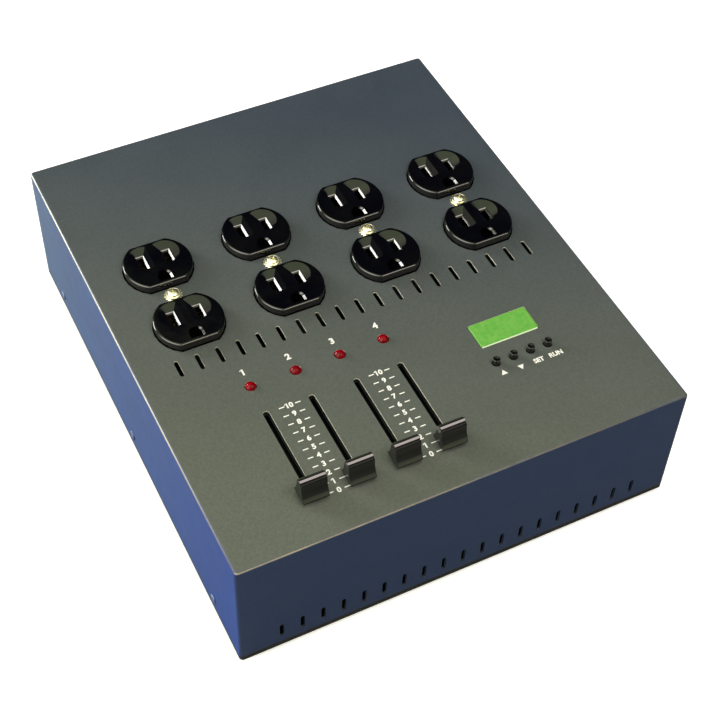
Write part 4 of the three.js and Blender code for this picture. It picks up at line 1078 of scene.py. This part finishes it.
def makeLegends():
    size = legend
    ink = size["ink"]
    tick = (size["tickLength"], size["tickWidth"], ink)
    ticks, flats = [], []
    for centre in size["scaleX"]:
        for number in range(11):
            y = size["zeroY"] + number * size["step"]
            flats += makeText(str(number), centre, y, size["digit"])
            ticks += [newSolid(addBox, tick, (centre + side * size["tickX"], y, ink / 2)) for side in (-1, 1)]
    for n in channels:
        flats += makeText(str(n), columns[n], size["channelY"], size["channelDigit"])
    flats += [makeArrow(x, size["keyY"], turn) for x, turn in size["arrows"]]
    for word, x in size["keys"]:
        flats += makeText(word, x, size["keyY"], size["keyDigit"])
    for flat in flats:
        drawOut(flat, flat.faces[:], (0, 0, ink))
    return gather(ticks + flats)


addPiece("panel_legends", makeLegends(), "printWhite", onPanel(0, 0, legend["gap"]))
print("legends made")


# Floor and lights
studio = {
    "floor": (0.9, 0.9, 0.9), "bounce": (0.18, 0.18, 0.19), "lift": 0.4,
    "glow": (0.98, 0.95, 0.75),        # warm light from the left and from above
    "shade": (0.020, 0.024, 0.050),    # dark room towards the right and the rear
    "away": ((1.0, 0.9, -0.6), 0.30, 0.22),
    "upwards": ((-0.5, 0.0, 1.0), 0.1, 0.6),
    "level": ((0.0, 0.0, -1.0), 0.3, -0.2),
    "aim": (0.0, 0.0, 0.04),
}
# parts of the room that only glossy faces show: a direction with its fall-off, and a straight edge
windows = {
    "rear": {"toward": ((0.11, 0.42, 0.90), 0.88, 0.95), "cut": ((1.0, 0.9, -0.6), 0.30, 0.16),
             "light": (1.4, 1.62, 1.02)},
    "front": {"toward": ((0.25, -0.87, 0.42), 0.35, 1.0), "light": (1.6, 1.65, 1.08)},
    "left": {"toward": ((-0.84, 0.0, 0.54), 0.70, 0.90), "cut": ((0.0, 1.0, 0.0), 0.45, 0.20),
             "light": (9.0, 8.7, 7.6)},
    "high": {"toward": ((0.30, -0.45, 0.84), 0.965, 0.98), "light": (13.0, 11.5, 10.5)},
    "dark": {"toward": ((-0.48, 0.65, 0.59), 0.972, 0.984), "light": (0.10, 0.11, 0.14)},
}
softboxes = {
    "side": {"place": (-1.25, 1.42, 0.56), "size": (0.65, 0.65), "power": 43.0, "color": (1.0, 0.98, 0.92),
             "mirrored": True},
    "lamp": {"place": (0.26, -0.60, 1.02), "size": (0.46, 0.17), "power": 4.8, "color": (1.0, 0.96, 0.88)},
    "overhead": {"place": (0.10, -0.15, 1.45), "size": (0.9, 0.9), "power": 3.4, "color": (1.0, 0.98, 0.88)},
}


def addArea(name, place, size, power, color, mirrored=False):
    data = bpy.data.lights.new(name, "AREA")
    data.shape = "RECTANGLE"
    data.size, data.size_y = size
    data.energy = power
    data.color = color
    holder = newObject(name, data)
    holder.location = place
    holder.rotation_euler = (Vector(studio["aim"]) - Vector(place)).to_track_quat("-Z", "Y").to_euler()
    holder.visible_glossy = mirrored


def makeFloor():
    # pale floor that throws little light back at the sides
    pale = studio["floor"]
    tree, shader = newMaterial("studioFloor", pale, 0.8)
    seen = addNode(tree, "ShaderNodeLightPath").outputs["Is Camera Ray"]
    drift = addGroup(tree, driftGroup, Color=pale, Other=[tone * 0.985 for tone in pale], Scale=3.0)
    feed(tree, shader, {
        "Base Color": addMix(tree, seen, studio["bounce"], drift), "Emission Color": (1, 1, 1),
        "Emission Strength": addMath(tree, "MULTIPLY", seen, studio["lift"]),
    })
    mesh = newMesh("studio_floor", newSolid(bmesh.ops.create_grid, x_segments=1, y_segments=1, size=6))
    mesh.materials.append(materials["studioFloor"])
    newObject("studio_floor", mesh)


def makeRoom():
    # a glow from the left and above that falls off to a dark room
    world = bpy.data.worlds.new("studio")
    world.use_nodes = True
    tree = world.node_tree
    direction = addCoords(tree)["Generated"]
    glossy = addNode(tree, "ShaderNodeLightPath").outputs["Is Glossy Ray"]

    def fade(toward, start, end):
        return addRange(tree, addVectorMath(tree, "DOT_PRODUCT", direction, toward)["Value"], start, end)

    glow = addProduct(tree, fade(*studio["away"]), fade(*studio["upwards"]))
    room = addMix(tree, glow, studio["shade"], studio["glow"])
    for window in windows.values():
        shape = addProduct(tree, fade(*window["toward"]), fade(*window.get("cut", studio["level"])), glossy)
        room = addMix(tree, shape, room, window["light"])
    feed(tree, tree.nodes["Background"], {"Color": room})
    bpy.context.scene.world = world


makeFloor()
makeRoom()
for name, box in softboxes.items():
    addArea(name, **box)
print("studio set")
